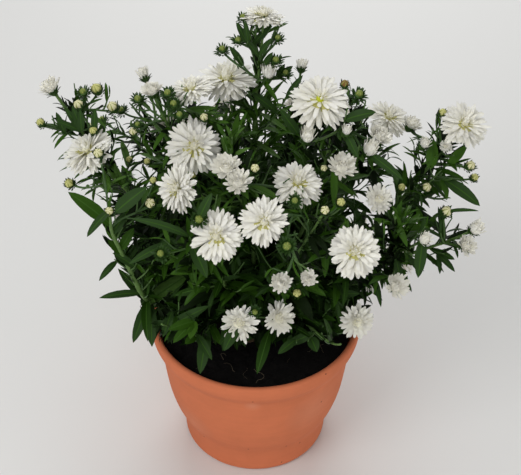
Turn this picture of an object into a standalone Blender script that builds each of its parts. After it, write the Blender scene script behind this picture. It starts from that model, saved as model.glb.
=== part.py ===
"""Potted aster: a turned clay pot filled with compost, a short woody stem that stands on it, the
tapering shoots that fork from the stem's head, and the leafy masses that the shoots carry.

Metres, +Z up. The origin is the centre of the pot's flat underside, and -Y is the front.
"""

import math
from collections import namedtuple

import bmesh
import bpy
import numpy as np
from mathutils import Vector

# Driving sizes of the pot
POT_HEIGHT = 0.115
WALL = 0.0052
FLOOR_THICKNESS = 0.009
FOOT_EDGE = 0.004
LIP_EDGE = 0.0024
# Height and outer radius, from the foot over the waist, belly and neck to the rim
POT_OUTLINE = (
    (0.0040, 0.0572),
    (0.0140, 0.0578),
    (0.0255, 0.0600),
    (0.0370, 0.0648),
    (0.0520, 0.0688),
    (0.0690, 0.0712),
    (0.0850, 0.0730),
    (0.0960, 0.0751),
    (0.1020, 0.0785),
    (0.1070, 0.0799),
    (0.1126, 0.0800),
)
OUTLINE_STEP = 0.0090
LIP_POINTS = 7
FOOT_POINTS = 4
TURN_STEPS = 36
MERGE_DISTANCE = 0.00005

# Driving sizes of the compost and of the short stem that stands on it. The stem's head is round
# down to the undercut angle, in degrees, where the neck starts.
COMPOST_LEVEL = 0.104
FLARE_RADIUS = 0.021
NECK_RADIUS = 0.0125
NECK_LENGTH = 0.004
NECK_FOOT_RADIUS = 0.0150
HEAD_RADIUS = 0.016
HEAD_HEIGHT = 0.024
HEAD_UNDERCUT = -28
HEAD_POINTS = 7
STEM_STEPS = 18

# Clearance kept between neighbouring pieces, and between the foliage and the rim
CLEARANCE = 0.0003
RIM_CLEARANCE = 0.004

# A shoot's tip is given by its turn about the pot's axis (0 at +X, 90 at the back), its distance
# from that axis and its height. The foliage runs back from the tip for its length, at its rise
# above the level, and is as wide as its girth.
Shoot = namedtuple("Shoot", "name turn reach height length girth rise")

SHOOTS = (
    # Short shoots that hang out over the rim
    Shoot("skirt_front", 268, 0.086, 0.172, 0.058, 0.058, 24),
    Shoot("skirt_front_right", 306, 0.098, 0.174, 0.062, 0.060, 26),
    Shoot("skirt_right", 334, 0.108, 0.176, 0.064, 0.058, 26),
    Shoot("skirt_right_back", 20, 0.116, 0.180, 0.066, 0.062, 28),
    Shoot("skirt_back_right", 57, 0.112, 0.178, 0.064, 0.062, 28),
    Shoot("skirt_back", 93, 0.110, 0.174, 0.062, 0.060, 28),
    Shoot("skirt_back_left", 128, 0.112, 0.178, 0.064, 0.062, 28),
    Shoot("skirt_left_back", 161, 0.116, 0.180, 0.066, 0.060, 28),
    Shoot("skirt_left", 194, 0.120, 0.174, 0.066, 0.056, 26),
    Shoot("skirt_front_left", 229, 0.102, 0.174, 0.062, 0.060, 26),
    # Long shoots that make the wide ring of bloom, lower towards the back
    Shoot("left", 178, 0.138, 0.314, 0.092, 0.062, 62),
    Shoot("left_front", 211, 0.116, 0.274, 0.098, 0.068, 58),
    Shoot("front_left", 247, 0.102, 0.284, 0.098, 0.066, 64),
    Shoot("front_right", 289, 0.100, 0.286, 0.098, 0.068, 64),
    Shoot("right_front", 323, 0.122, 0.254, 0.094, 0.066, 52),
    Shoot("right_low", 348, 0.157, 0.233, 0.072, 0.046, 40),
    Shoot("right", 4, 0.148, 0.302, 0.090, 0.058, 62),
    Shoot("right_back", 34, 0.127, 0.280, 0.090, 0.062, 60),
    Shoot("back_right", 75, 0.128, 0.252, 0.090, 0.070, 54),
    Shoot("back_left", 110, 0.130, 0.256, 0.090, 0.070, 54),
    Shoot("left_back", 146, 0.122, 0.286, 0.094, 0.064, 62),
    # Upright shoots that close the dome, and the one tall spray above it
    Shoot("dome_left", 182, 0.056, 0.324, 0.090, 0.068, 80),
    Shoot("dome_front", 266, 0.048, 0.306, 0.088, 0.070, 80),
    Shoot("dome_right", 350, 0.058, 0.322, 0.090, 0.068, 80),
    Shoot("dome_back_right", 54, 0.078, 0.294, 0.088, 0.070, 76),
    Shoot("dome_back_left", 126, 0.080, 0.292, 0.088, 0.070, 76),
    Shoot("top", 92, 0.030, 0.359, 0.088, 0.042, 86),
)

# Limbs
LIMB_ROOT_RADIUS = 0.0020
LIMB_TIP_RADIUS = 0.0013
LIMB_POINTS = 7
LIMB_ROUNDING = 1
LIMB_SWEEP = 0.30

# Unevenness of a leafy mass: how many lobes stand out of it, how far and how sharply
LOBES = 20
LOBE_HEIGHT = (-0.30, 0.32)
LOBE_SHARPNESS = 11.0
TOP_SWELL = 0.22
FOOT_ROOM = 0.004
FOOT_REACH = 1.25
MASS_SEGMENTS = 12
MASS_RINGS = 8
SEED = 41


def new_material(name, colour, roughness):
    """A Principled material of one linear colour, with nothing metallic in it."""
    material = bpy.data.materials.new(name)
    material.use_nodes = True
    shader = material.node_tree.nodes["Principled BSDF"]
    shader.inputs["Base Color"].default_value = (*colour, 1.0)
    shader.inputs["Roughness"].default_value = roughness
    shader.inputs["Metallic"].default_value = 0.0
    material.diffuse_color = (*colour, 1.0)
    return material


def add_object(name, data, material, collection):
    """An object for the mesh or curve, in the parts' collection, with its own material."""
    data.name = name
    data.materials.append(material)
    piece = bpy.data.objects.new(name, data)
    collection.objects.link(piece)
    return piece


def arc(centre, radius, start, end, count):
    """Points (radius, height) on an arc about the centre, between two angles in degrees."""
    angles = np.radians(np.linspace(start, end, count))
    return [(centre[0] + radius * math.cos(a), centre[1] + radius * math.sin(a)) for a in angles]


def pot_radius(height):
    """Outer radius at a height: a cubic through the outline's stations, with the slope at each
    station taken from its two neighbours."""
    stations = np.array(POT_OUTLINE)
    z, r = stations[:, 0], stations[:, 1]
    slopes = np.gradient(r, z)
    height = float(np.clip(height, z[0], z[-1]))
    i = min(int(np.searchsorted(z, height, side="right")) - 1, len(z) - 2)
    span = z[i + 1] - z[i]
    t = (height - z[i]) / span
    return (
        (2 * t**3 - 3 * t**2 + 1) * r[i]
        + (t**3 - 2 * t**2 + t) * span * slopes[i]
        + (3 * t**2 - 2 * t**3) * r[i + 1]
        + (t**3 - t**2) * span * slopes[i + 1]
    )


def inner_wall():
    """The pot's inner wall (radius, height), from the floor's edge up to the lip."""
    lip_height = POT_HEIGHT - LIP_EDGE
    heights = np.arange(FLOOR_THICKNESS + FOOT_EDGE, lip_height - OUTLINE_STEP, 2 * OUTLINE_STEP)
    wall = [(pot_radius(z) - WALL, z) for z in heights]
    return wall + [(pot_radius(lip_height) - 2 * LIP_EDGE, lip_height)]


def turned_piece(name, outline, steps, material, collection):
    """A solid of revolution: the outline, given from the axis down its outer side and back to the
    axis, under a Screw modifier."""
    mesh = bpy.data.meshes.new(name)
    points = [(r, 0.0, z) for r, z in outline]
    mesh.from_pydata(points, [(i, i + 1) for i in range(len(points) - 1)], [])
    piece = add_object(name, mesh, material, collection)
    screw = piece.modifiers.new("Turn", "SCREW")
    screw.axis = "Z"
    screw.steps = steps
    screw.render_steps = steps
    screw.use_merge_vertices = True
    screw.merge_threshold = MERGE_DISTANCE
    screw.use_smooth_shade = True
    return piece


def pot_outline():
    """The pot's wall as one closed outline, from the middle of its inner floor up the inner wall,
    over the rounded lip, and down the outer side to the middle of its flat underside."""
    lip_height = POT_HEIGHT - LIP_EDGE
    inner = inner_wall()[:-1]
    lip_centre = (pot_radius(lip_height) - LIP_EDGE, lip_height)
    heights = np.arange(lip_height - OUTLINE_STEP, FOOT_EDGE, -OUTLINE_STEP)
    outer = [(pot_radius(z), z) for z in heights]
    foot_centre = (pot_radius(FOOT_EDGE) - FOOT_EDGE, FOOT_EDGE)
    return (
        [(0.0, FLOOR_THICKNESS), (inner[0][0] - FOOT_EDGE, FLOOR_THICKNESS)]
        + inner
        + arc(lip_centre, LIP_EDGE, 180, 0, LIP_POINTS)
        + outer
        + arc(foot_centre, FOOT_EDGE, 0, -90, FOOT_POINTS)
        + [(0.0, 0.0)]
    )


def compost_outline():
    """The compost: level on top, with the pot's inner shape below, clear of the pot all round."""
    radii, heights = np.array(inner_wall()).T
    edge = float(np.interp(COMPOST_LEVEL, heights, radii)) - CLEARANCE
    side = [(r - CLEARANCE, z) for r, z in zip(radii, heights, strict=True) if z < COMPOST_LEVEL]
    foot = FLOOR_THICKNESS + CLEARANCE
    bottom = [(side[0][0] - FOOT_EDGE, foot), (0.0, foot)]
    return [(0.0, COMPOST_LEVEL), (edge, COMPOST_LEVEL)] + side[::-1] + bottom


def head_centre():
    """Middle of the rounded head that the shoots fork from."""
    return Vector((0.0, 0.0, COMPOST_LEVEL + HEAD_HEIGHT))


def stem_outline():
    """The short stem: a round head on a narrow neck, flared out to a flat cut on the compost."""
    cut = COMPOST_LEVEL + CLEARANCE
    centre = (0.0, head_centre().z)
    neck_height = (cut + centre[1] - HEAD_RADIUS) / 2
    head = arc(centre, HEAD_RADIUS, 90, HEAD_UNDERCUT, HEAD_POINTS)
    neck = [(NECK_RADIUS, neck_height + NECK_LENGTH), (NECK_FOOT_RADIUS, neck_height)]
    return head + neck + [(FLARE_RADIUS, cut), (0.0, cut)]


def shoot_axis(shoot):
    """Direction of a shoot's foliage, from its foot to its tip."""
    turn, rise = math.radians(shoot.turn), math.radians(shoot.rise)
    level = math.cos(rise)
    return Vector((level * math.cos(turn), level * math.sin(turn), math.sin(rise)))


def shoot_tip(shoot):
    turn = math.radians(shoot.turn)
    return Vector((shoot.reach * math.cos(turn), shoot.reach * math.sin(turn), shoot.height))


def mass_foot(shoot):
    return shoot_tip(shoot) - shoot.length * shoot_axis(shoot)


def mass_centre(shoot):
    return shoot_tip(shoot) - 0.5 * shoot.length * shoot_axis(shoot)


def limb_path(shoot):
    """Points along a limb: a curve of the second degree that leaves the stem's head square to it
    and comes into the foot of its foliage along the foliage's own direction."""
    axis = shoot_axis(shoot)
    foot = mass_foot(shoot)
    bend = foot - LIMB_SWEEP * (foot - head_centre()).length * axis
    start = head_centre() + (HEAD_RADIUS + CLEARANCE) * (bend - head_centre()).normalized()
    steps = [i / (LIMB_POINTS - 1) for i in range(LIMB_POINTS)]
    return [(1 - t) ** 2 * start + 2 * t * (1 - t) * bend + t**2 * foot for t in steps]


def add_limb(shoot, material, collection):
    """One tapering limb with flat ends, as a curve with a round bevel."""
    curve = bpy.data.curves.new("limb_" + shoot.name, "CURVE")
    curve.dimensions = "3D"
    curve.bevel_depth = LIMB_ROOT_RADIUS
    curve.bevel_resolution = LIMB_ROUNDING
    curve.use_fill_caps = True
    path = limb_path(shoot)
    line = curve.splines.new("POLY")
    line.points.add(len(path) - 1)
    line.use_smooth = True
    taper = LIMB_TIP_RADIUS / LIMB_ROOT_RADIUS
    for i, point in enumerate(path):
        line.points[i].co = (*point, 1.0)
        line.points[i].radius = 1.0 + (taper - 1.0) * i / (len(path) - 1)
    return add_object("limb_" + shoot.name, curve, material, collection)


def nearest_on_segment(point, start, end):
    along = end - start
    t = max(0.0, min(1.0, (point - start).dot(along) / along.length_squared))
    return start + t * along


def limb_planes(centre, paths):
    """Planes that keep a mass off the limbs: one at the nearest point of each stretch of limb,
    square to the line from there to the mass's centre and clear of the limb's thickness."""
    planes = []
    for path in paths:
        for i in range(len(path) - 1):
            nearest = nearest_on_segment(centre, path[i], path[i + 1])
            outward = nearest - centre
            distance = outward.length
            tip = i == len(path) - 2 and (nearest - path[-1]).length < CLEARANCE
            room = CLEARANCE if tip else LIMB_ROOT_RADIUS + CLEARANCE
            planes.append((outward / distance, distance - room))
    return planes


def neighbour_planes(shoot):
    """Planes between a mass and every other one. A plane lies midway between the two centres,
    shifted towards the slimmer mass, and is moved where it would part a mass from its foot."""
    centre = mass_centre(shoot)
    planes = []
    for other in SHOOTS:
        if other is shoot:
            continue
        outward = mass_centre(other) - centre
        distance = outward.length
        normal = outward / distance
        split = distance / 2 + (shoot.girth**2 - other.girth**2) / (8 * distance)
        own_foot = (mass_foot(shoot) - centre).dot(normal) + FOOT_ROOM
        other_foot = (mass_foot(other) - centre).dot(normal) - FOOT_ROOM
        if own_foot <= other_foot:
            split = min(max(split, own_foot), other_foot)
        planes.append((normal, split - CLEARANCE / 2))
    return planes


def lobed_radius(shoot, direction, lobes):
    """Distance from a mass's centre to its surface: an egg along the shoot that is wider towards
    the tip, raised or sunk by lobes in seeded directions."""
    along = direction.dot(shoot_axis(shoot))
    across = math.sqrt(max(0.0, 1.0 - along * along))
    half_length = shoot.length / 2 * (1.0 if along > 0 else FOOT_REACH)
    half_girth = shoot.girth / 2 * (1.0 + TOP_SWELL * along)
    radius = 1.0 / math.hypot(across / half_girth, along / half_length)
    swell = sum(h * math.exp(LOBE_SHARPNESS * (direction.dot(lobe) - 1.0)) for lobe, h in lobes)
    return radius * (1.0 + swell * (1.0 - along**4))


def seeded_lobes(rng):
    """Directions and heights of a mass's lobes."""
    directions = rng.normal(size=(LOBES, 3))
    heights = rng.uniform(*LOBE_HEIGHT, size=LOBES)
    return [(Vector(d).normalized(), float(h)) for d, h in zip(directions, heights, strict=True)]


def add_mass(shoot, paths, rng, material, collection):
    """One leafy mass: a sphere whose points are moved out to the lobed surface, or only as far as
    the first plane that bounds the mass's own room in the crown."""
    centre = mass_centre(shoot)
    turn = shoot_axis(shoot).to_track_quat("Z", "Y")
    planes = limb_planes(centre, paths) + neighbour_planes(shoot)
    planes.append((Vector((0.0, 0.0, -1.0)), centre.z - POT_HEIGHT - RIM_CLEARANCE))
    lobes = seeded_lobes(rng)
    form = bmesh.new()
    bmesh.ops.create_uvsphere(form, u_segments=MASS_SEGMENTS, v_segments=MASS_RINGS, radius=1.0)
    for vertex in form.verts:
        direction = (turn @ vertex.co).normalized()
        radius = lobed_radius(shoot, direction, lobes)
        for normal, distance in planes:
            facing = direction.dot(normal)
            if facing > 0.0:
                radius = min(radius, distance / facing)
        vertex.co = centre + radius * direction
    for face in form.faces:
        face.smooth = True
    mesh = bpy.data.meshes.new("mass_" + shoot.name)
    form.to_mesh(mesh)
    form.free()
    return add_object("mass_" + shoot.name, mesh, material, collection)


def build():
    for piece in list(bpy.data.objects):
        bpy.data.objects.remove(piece, do_unlink=True)
    parts = bpy.data.collections.new("potted_aster")
    bpy.context.scene.collection.children.link(parts)

    clay = new_material("fired_clay", (0.48, 0.14, 0.065), 0.78)
    turned_piece("pot", pot_outline(), TURN_STEPS, clay, parts)
    peat = new_material("peat_compost", (0.012, 0.009, 0.007), 0.95)
    turned_piece("compost", compost_outline(), TURN_STEPS, peat, parts)
    bark = new_material("stem_bark", (0.10, 0.085, 0.035), 0.80)
    turned_piece("stem_base", stem_outline(), STEM_STEPS, bark, parts)

    rng = np.random.default_rng(SEED)
    paths = [limb_path(shoot) for shoot in SHOOTS]
    for shoot in SHOOTS:
        rind = new_material("shoot_rind_" + shoot.name, (0.075, 0.12, 0.03), 0.65)
        add_limb(shoot, rind, parts)
        leaf = new_material("foliage_" + shoot.name, (0.03, 0.075, 0.015), 0.60)
        add_mass(shoot, paths, rng, leaf, parts)


build()
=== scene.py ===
"""Looks of the potted aster: a clay pot of compost, woody and green stems that grow on from the
limbs of the frame by a seeded branching rule, and their leaves, buds and white double blooms.

Metres, +Z up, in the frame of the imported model. -Y is the front.
"""

import functools
import math
from collections import namedtuple

import bpy
import numpy as np
from bpy.props import FloatProperty, FloatVectorProperty, IntProperty, PointerProperty
from mathutils import Matrix, Vector
from mathutils.bvhtree import BVHTree


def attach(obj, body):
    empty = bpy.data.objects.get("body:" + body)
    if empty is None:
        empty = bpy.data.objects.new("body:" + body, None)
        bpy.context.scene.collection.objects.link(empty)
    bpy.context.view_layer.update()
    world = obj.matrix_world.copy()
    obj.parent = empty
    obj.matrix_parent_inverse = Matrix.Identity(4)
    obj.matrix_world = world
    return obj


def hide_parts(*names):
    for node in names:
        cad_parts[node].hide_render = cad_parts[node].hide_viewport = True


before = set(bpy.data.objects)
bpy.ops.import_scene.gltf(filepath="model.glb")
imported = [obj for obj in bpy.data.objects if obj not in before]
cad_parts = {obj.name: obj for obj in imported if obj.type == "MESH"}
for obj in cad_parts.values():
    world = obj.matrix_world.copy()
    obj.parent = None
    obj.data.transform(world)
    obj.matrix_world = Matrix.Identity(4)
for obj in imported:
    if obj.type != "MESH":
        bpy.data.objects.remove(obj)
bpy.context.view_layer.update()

bl_info = {
    "name": "Potted Aster",
    "version": (1, 0, 0),
    "blender": (4, 5, 0),
    "location": "3D View > Sidebar > Aster",
    "description": "Grows a white double aster on the limbs of its frame, in a clay pot of compost",
    "category": "Add Mesh",
}

BODY = "root"
MM = 0.001
UP = np.array((0.0, 0.0, 1.0))
GOLDEN_ANGLE = math.radians(137.508)
# Typical of living leaves and wood, and of unglazed clay
COMMON_IOR = 1.45

# The photograph's frame in pixels, and the camera, worked out from the pot's rim and outline
PHOTO_WIDTH = 521
PHOTO_HEIGHT = 475
FOCAL_PIXELS = 1000.0
SENSOR_WIDTH = 36.0
CAMERA_PLACE = np.array((0.0, -0.570, 0.6303))
CAMERA_PITCH = math.radians(37.73)
CAMERA_YAW = math.radians(0.33)
CAMERA_ROLL = math.radians(0.47)

# The pot, as in the frame
POT_HEIGHT = 0.115
WALL = 0.0052
FLOOR_THICKNESS = 0.009
FOOT_EDGE = 0.004
LIP_EDGE = 0.0024
# Height and outer radius, from the foot over the waist, belly and neck to the rim
POT_OUTLINE = (
    (0.0040, 0.0572), (0.0140, 0.0578), (0.0255, 0.0600), (0.0370, 0.0648), (0.0520, 0.0688),
    (0.0690, 0.0712), (0.0850, 0.0730), (0.0960, 0.0751), (0.1020, 0.0785), (0.1070, 0.0799),
    (0.1126, 0.0800),
)
POT_TURNS = 160
POT_STATIONS = 90
# Stations under the foot and round its edge, and the least radius, next to the axis
UNDER_STATIONS = 7
FOOT_STATIONS = 7
POT_AXIS = 0.004
# The wall thickens to the lip from this height up, and a groove runs round under the lip
LIP_FOOT = 0.100
LIP_LINE = 0.1108
# Spacings of the rings that the wheel left
WHEEL_RINGS = (2.1 * MM, 3.4 * MM, 5.7 * MM, 9.0 * MM)

# The compost and the short stem that stands on it
COMPOST_LEVEL = 0.104
COMPOST_TURNS = 200
COMPOST_RINGS = 70
COMPOST_EDGE = 0.0722
COMPOST_AXIS = 0.0015
# Radius and height of the compost's underside, from the middle out
UNDERSIDE = ((0.002, 0.094), (0.035, 0.094), (0.066, 0.094), (0.0705, 0.099))
LUMPS = 900
LUMP_REACH = 0.071
SWELL = 0.8 * MM
FIBRES = 26
CURLED_FIBRES = 3
FIBRE_STATIONS = 16
FIBRE_SIDES = 5
FIBRE_START = 0.066
FIBRE_REACH = 0.0695
FLARE_RADIUS = 0.021
NECK_RADIUS = 0.0125
HEAD_RADIUS = 0.016
STEM_HEAD = np.array((0.0, 0.0, 0.128))
STEM_TURNS = 72
STEM_STATIONS = 70
FLARE_FADE = 0.0042
# Waves round the stem that furrow its bark, and their depth
FURROWS = (5, 9, 14, 23)
FURROW_DEPTH = 0.45 * MM

# Limbs of the frame: rings in a limb's solid, and its radius at both ends
LIMB_RINGS = 7
LIMB_ROOT_RADIUS = 2.0 * MM
LIMB_TIP_RADIUS = 1.3 * MM
# The rind: sides round a limb, spacing of its rings, and of its leaf scars in metres and in rings
LIMB_SIDES = 12
LIMB_STEP = 1.6 * MM
SCAR_STEP = 7 * MM
SCAR_RINGS = 4.4

# Where each bloom and bud of the photograph shows: the pixel of its middle, its width in
# millimetres, how far it is turned from its own lie to face the viewer (0 to 1), how many
# millimetres it lies behind the crown's surface, and how far it is turned to the viewer's right.
# A shoot is leafy and has no bud. Its tip shows at the pixel or ends behind it.
Shown = namedtuple("Shown", "across down width facing behind aside", defaults=(0.3, 0.0, 0.0))
SHOWN_HEADS = {
    "open": (
        (194, 146, 36, 0.85, -6), (226, 75, 39, 0.22), (190, 86, 28, 0.1, 10), (264, 222, 29, 0.85),
        (216, 236, 32, 0.75), (355, 251, 32, 0.8), (298, 180, 32, 0.08), (85, 148, 36, 0.05),
        (466, 122, 32, 0.4), (390, 115, 31, 0.4, 6), (174, 188, 31, 0.85, 0, -1.15), (263, 13, 27, 0),
    ),
    "eyed": ((320, 98, 38, 0.42),),
    "young": (
        (239, 323, 25, 0.85), (281, 318, 24, 0.85, 0, 0.55), (358, 322, 24, 0.75), (380, 198, 20, 0.45),
        (446, 146, 9, 0.6),
    ),
    "cup": (
        (226, 167, 20, 0.45, -5), (238, 182, 18, 0.4, -5), (236, 96, 16, 0.05), (380, 136, 18, 0.1, 0),
        (412, 124, 16, 0.05), (342, 166, 21, 0.45, -5), (281, 283, 14, 0.2), (308, 278, 12, 0.15),
        (152, 90, 15, 0.1), (50, 87, 18, 0), (467, 245, 16, 0.4), (397, 286, 18, 0.3),
    ),
    "barrel": (
        (308, 135, 12, 0.05), (371, 148, 13, 0.1), (269, 71, 12, 0, 4), (302, 64, 10, 0, 8),
        (143, 73, 11, 0), (477, 228, 12, 0.1), (425, 239, 10, 0.4), (425, 143, 9, 0.1),
        (347, 130, 8, 0, 4),
    ),
    "bud": (
        (40, 122, 6), (78, 104, 7), (96, 88, 8), (112, 106, 8), (93, 130, 6), (98, 153, 7, 0.6, -15),
        (69, 183, 7, 0.5), (109, 211, 6, 0.6), (129, 159, 5), (133, 131, 6, 0.3), (147, 161, 5),
        (150, 203, 7, 0.5), (153, 180, 5, 0.5), (204, 117, 6), (193, 175, 5, 0.4), (255, 168, 6, 0.6),
        (257, 22, 5), (325, 210, 6, 0.6), (341, 202, 6, 0.5), (324, 168, 5, 0.4), (402, 187, 6, 0.5),
        (427, 187, 7, 0.5), (443, 112, 6), (471, 165, 7, 0.4), (475, 177, 6, 0.4), (447, 211, 8, 0.4),
        (297, 293, 6, 0.8),
    ),
    "green": (
        (82, 90, 8), (120, 108, 8), (137, 97, 8), (167, 91, 8), (173, 102, 8), (179, 113, 7),
        (137, 123, 6), (199, 219, 9, 0.9), (160, 253, 8, 0.5), (222, 47, 8), (238, 38, 7), (243, 15, 7),
        (278, 36, 7), (276, 58, 8), (286, 71, 7), (360, 92, 9), (295, 200, 7, 0.6), (287, 246, 9, 0.9),
        (255, 312, 7, 0.8),
    ),
    "withered": ((345, 83, 6),),
    "shoot": (
        (392, 200, 8, 0, 12), (406, 206, 8, 0, 12), (418, 220, 8, 0, 14), (398, 228, 8, 0, 14),
        (386, 186, 8, 0, 16), (410, 240, 8, 0, 14), (455, 176, 8, 0, 6), (90, 176, 8, 0, 10),
        (106, 170, 8, 0, 12), (120, 184, 8, 0, 12), (124, 214, 8, 0, 12), (228, 114, 8, 0, 10),
        (240, 122, 8, 0, 14), (232, 134, 8, 0, 12), (266, 94, 8, 0, 8), (274, 112, 8, 0, 10),
        (288, 120, 8, 0, 10), (262, 118, 8, 0, 10), (448, 196, 8, 0, 8), (384, 172, 8, 0, 14),
        (224, 131, 8, 0, 6), (230, 146, 8, 0, 8), (218, 121, 8, 0, 6), (236, 110, 8, 0, 4),
        (207, 109, 8, 0, 4), (212, 117, 8, 0, 6), (128, 172, 8, 0, 10), (412, 204, 8, 0, 8),
        (416, 196, 8, 0, 8), (407, 215, 8, 0, 8),
    ),
}

# Leaves that stand out in the photograph: the pixels of foot and tip, the width in millimetres,
# the bend from foot to tip in degrees, and the number of their colour, which follows both the
# leaf's own green and painted light and shade: lighter for a leaf in light, darker for one in shade
ShownLeaf = namedtuple("ShownLeaf", "across down tip_across tip_down width bend shade", defaults=(2,))
SHOWN_LEAVES = (
    (107, 229, 68, 192, 9, 25, 3), (97, 211, 87, 237, 5, 100), (117, 218, 147, 187, 9.5, 20),
    (178, 228, 132, 219, 5, 70), (172, 238, 129, 264, 5.5, 40), (116, 267, 99, 281, 4.5, 60),
    (137, 297, 99, 298, 5.5, 50), (147, 309, 189, 274, 10.5, 20, 5), (147, 307, 133, 343, 8, 30),
    (152, 308, 152, 347, 8, 30), (168, 315, 163, 337, 6, 30), (218, 336, 200, 374, 9, 25, 2),
    (204, 332, 212, 360, 6, 25), (257, 336, 257, 374, 7.5, 25, 1), (190, 322, 168, 330, 6.5, 35, 3),
    (206, 325, 190, 339, 6.5, 30, 4), (214, 327, 221, 345, 6, 30, 3), (124, 258, 108, 240, 6, 20, 3),
    (118, 246, 105, 224, 6, 20, 4), (129, 267, 113, 253, 5.5, 20), (122, 254, 134, 228, 6.5, 20, 3),
    (115, 238, 127, 212, 6.5, 20), (225, 330, 224, 351, 8, 30), (290, 338, 278, 354, 6, 30),
    (314, 334, 317, 352, 8, 30), (196, 328, 173, 343, 6.5, 40, 3), (199, 331, 185, 344, 6, 40, 3),
    (439, 182, 480, 206, 8.5, 50), (446, 163, 467, 146, 6.5, 15, 4), (435, 168, 434, 140, 8, 15, 4),
    (442, 196, 440, 166, 8.5, 25, 3), (453, 210, 479, 211, 2.6, 70), (432, 258, 455, 272, 4.5, 50),
    (425, 246, 418, 278, 7.5, 25), (387, 168, 403, 180, 6, 25), (345, 123, 376, 112, 7.5, 30),
    (347, 127, 358, 158, 5.5, 30), (188, 213, 212, 193, 6, 50), (192, 250, 207, 278, 8, 30),
    (271, 113, 250, 92, 6, 25), (252, 50, 236, 22, 4.2, 20), (250, 66, 229, 46, 4.6, 30),
    (256, 56, 272, 38, 4.4, 20), (256, 48, 272, 24, 4.2, 15), (255, 62, 242, 36, 4.2, 20),
    (256, 38, 264, 20, 4, 15), (255, 40, 245, 20, 3.8, 15), (256, 70, 273, 52, 4.4, 20),
    (280, 88, 293, 66, 4.4, 20), (277, 84, 285, 64, 4, 20), (288, 90, 303, 75, 4.4, 20),
    (300, 130, 280, 110, 6.5, 20), (91, 137, 95, 108, 4.5, 20), (78, 134, 72, 106, 5, 20),
    (70, 136, 56, 112, 4.5, 20), (76, 137, 56, 121, 4.5, 25), (75, 136, 64, 107, 4.5, 20),
    (82, 136, 80, 109, 4.5, 20), (396, 258, 401, 283, 5, 25),
)

# The bough that rises along the left edge: the mass whose limb carries it, the pixels that it
# passes, the pixels of the bud at its end and of the buds beside it, the share of it that twigs
# grow from, and the masses whose heads may grow from it
EDGE_BOUGH = "skirt_left"
EDGE_PIXELS = ((163, 303), (151, 303), (142, 294), (136, 283), (128, 266), (120, 250), (112, 232))
EDGE_BUDS = ((109, 211), (69, 183), (98, 153))
EDGE_WOOD = 0.9
EDGE_GUESTS = ("left", "left_front")
# Shares of the bough's length, and its radius at them
EDGE_TAPER = ((0.0, 0.35, 0.75, 1.0), (2.0 * MM, 1.75 * MM, 1.45 * MM, 0.8 * MM))

# The foliage's lower edge over the compost, as (across, down), and its left and right edges, as
# (down, across). Only the leaves above reach past them.
LOWER_EDGE = (
    (140, 350), (160, 344), (196, 347), (216, 352), (250, 350), (290, 347), (330, 343), (348, 336),
    (366, 328), (400, 318),
)
LEFT_EDGE = (
    (70, 36), (126, 38), (140, 50), (190, 62), (215, 84), (240, 104), (258, 112), (280, 124),
    (300, 138), (345, 142),
)
RIGHT_EDGE = (
    (140, 492), (148, 470), (160, 472), (168, 481), (210, 484), (250, 480), (262, 458), (280, 436),
)

# Where the photograph shows the sky between the stalks: the pixel of the middle and the radius
SKY_OPENINGS = (
    (131, 112, 9), (123, 103, 7), (150, 111, 4), (160, 112, 4), (170, 111, 5), (101, 112, 4),
    (163, 143, 3), (395, 134, 7), (411, 169, 5), (359, 185, 6), (430, 204, 3), (452, 221, 6),
    (430, 246, 11), (128, 241, 3), (424, 251, 7), (446, 245, 4), (271, 48, 5), (268, 73, 5),
    (283, 48, 6), (247, 71, 4), (262, 91, 4),
)

# Layers of ray petals, from the outside in: how many, their length and the distance that they
# start from the middle as shares of the bloom's radius, and their rise over the bloom's plane and
# outward curl in degrees
Layer = namedtuple("Layer", "count length start rise curl")

PETAL_LAYERS = {
    "open": (
        (18, 0.84, 0.15, -10, 6), (18, 0.87, 0.15, -5, 8), (18, 0.87, 0.14, 0, 8),
        (18, 0.86, 0.13, 5, 8), (16, 0.83, 0.12, 10, 8), (14, 0.76, 0.11, 16, 8),
        (11, 0.60, 0.11, 23, 4), (9, 0.44, 0.13, 38, -24), (9, 0.38, 0.11, 50, -28),
        (8, 0.36, 0.09, 61, -22), (6, 0.33, 0.05, 73, -10),
    ),
    "young": (
        (15, 0.86, 0.18, 6, -4), (15, 0.84, 0.17, 13, -6), (14, 0.76, 0.16, 22, -10),
        (13, 0.60, 0.15, 32, -16), (13, 0.50, 0.15, 44, -24), (12, 0.44, 0.13, 54, -28),
        (10, 0.40, 0.10, 64, -22), (8, 0.37, 0.06, 73, -14), (5, 0.34, 0.02, 82, -4),
    ),
    "cup": (
        (17, 0.90, 0.22, 26, -22), (16, 0.90, 0.20, 37, -20), (14, 0.86, 0.17, 48, -17),
        (12, 0.82, 0.14, 59, -14), (10, 0.78, 0.10, 69, -10), (8, 0.76, 0.06, 77, -6),
        (5, 0.74, 0.02, 85, 0),
    ),
    "barrel": (
        (12, 1.35, 0.50, 64, -18), (11, 1.32, 0.42, 72, -20), (9, 1.26, 0.30, 79, -16),
        (6, 1.20, 0.15, 85, -8),
    ),
}
# A bloom whose yellow-green heart shows has only a few petals over it
PETAL_LAYERS["eyed"] = (*PETAL_LAYERS["open"][:7], (7, 0.34, 0.08, 50, -25), (5, 0.30, 0.03, 68, -15))
OPEN_KINDS = ("open", "eyed", "young")
# Half width of the petals, and what each kind's petals measure as shares of it
PETAL_HALF_WIDTH = 1.42 * MM
PETAL_WIDTHS = {"open": 1.0, "eyed": 1.0, "young": 1.20, "cup": 1.32, "barrel": 1.15}
FULL_RADIUS = 17.0 * MM

Mass = namedtuple("Mass", "name corners centre tree line foot axis tip")
Head = namedtuple("Head", "kind place facing radius mass shown")
Twig = namedtuple("Twig", "points radii kind head shade mass")
Leaves = namedtuple("Leaves", "base ahead up length half_width bend fold twist shade size mass")


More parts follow.
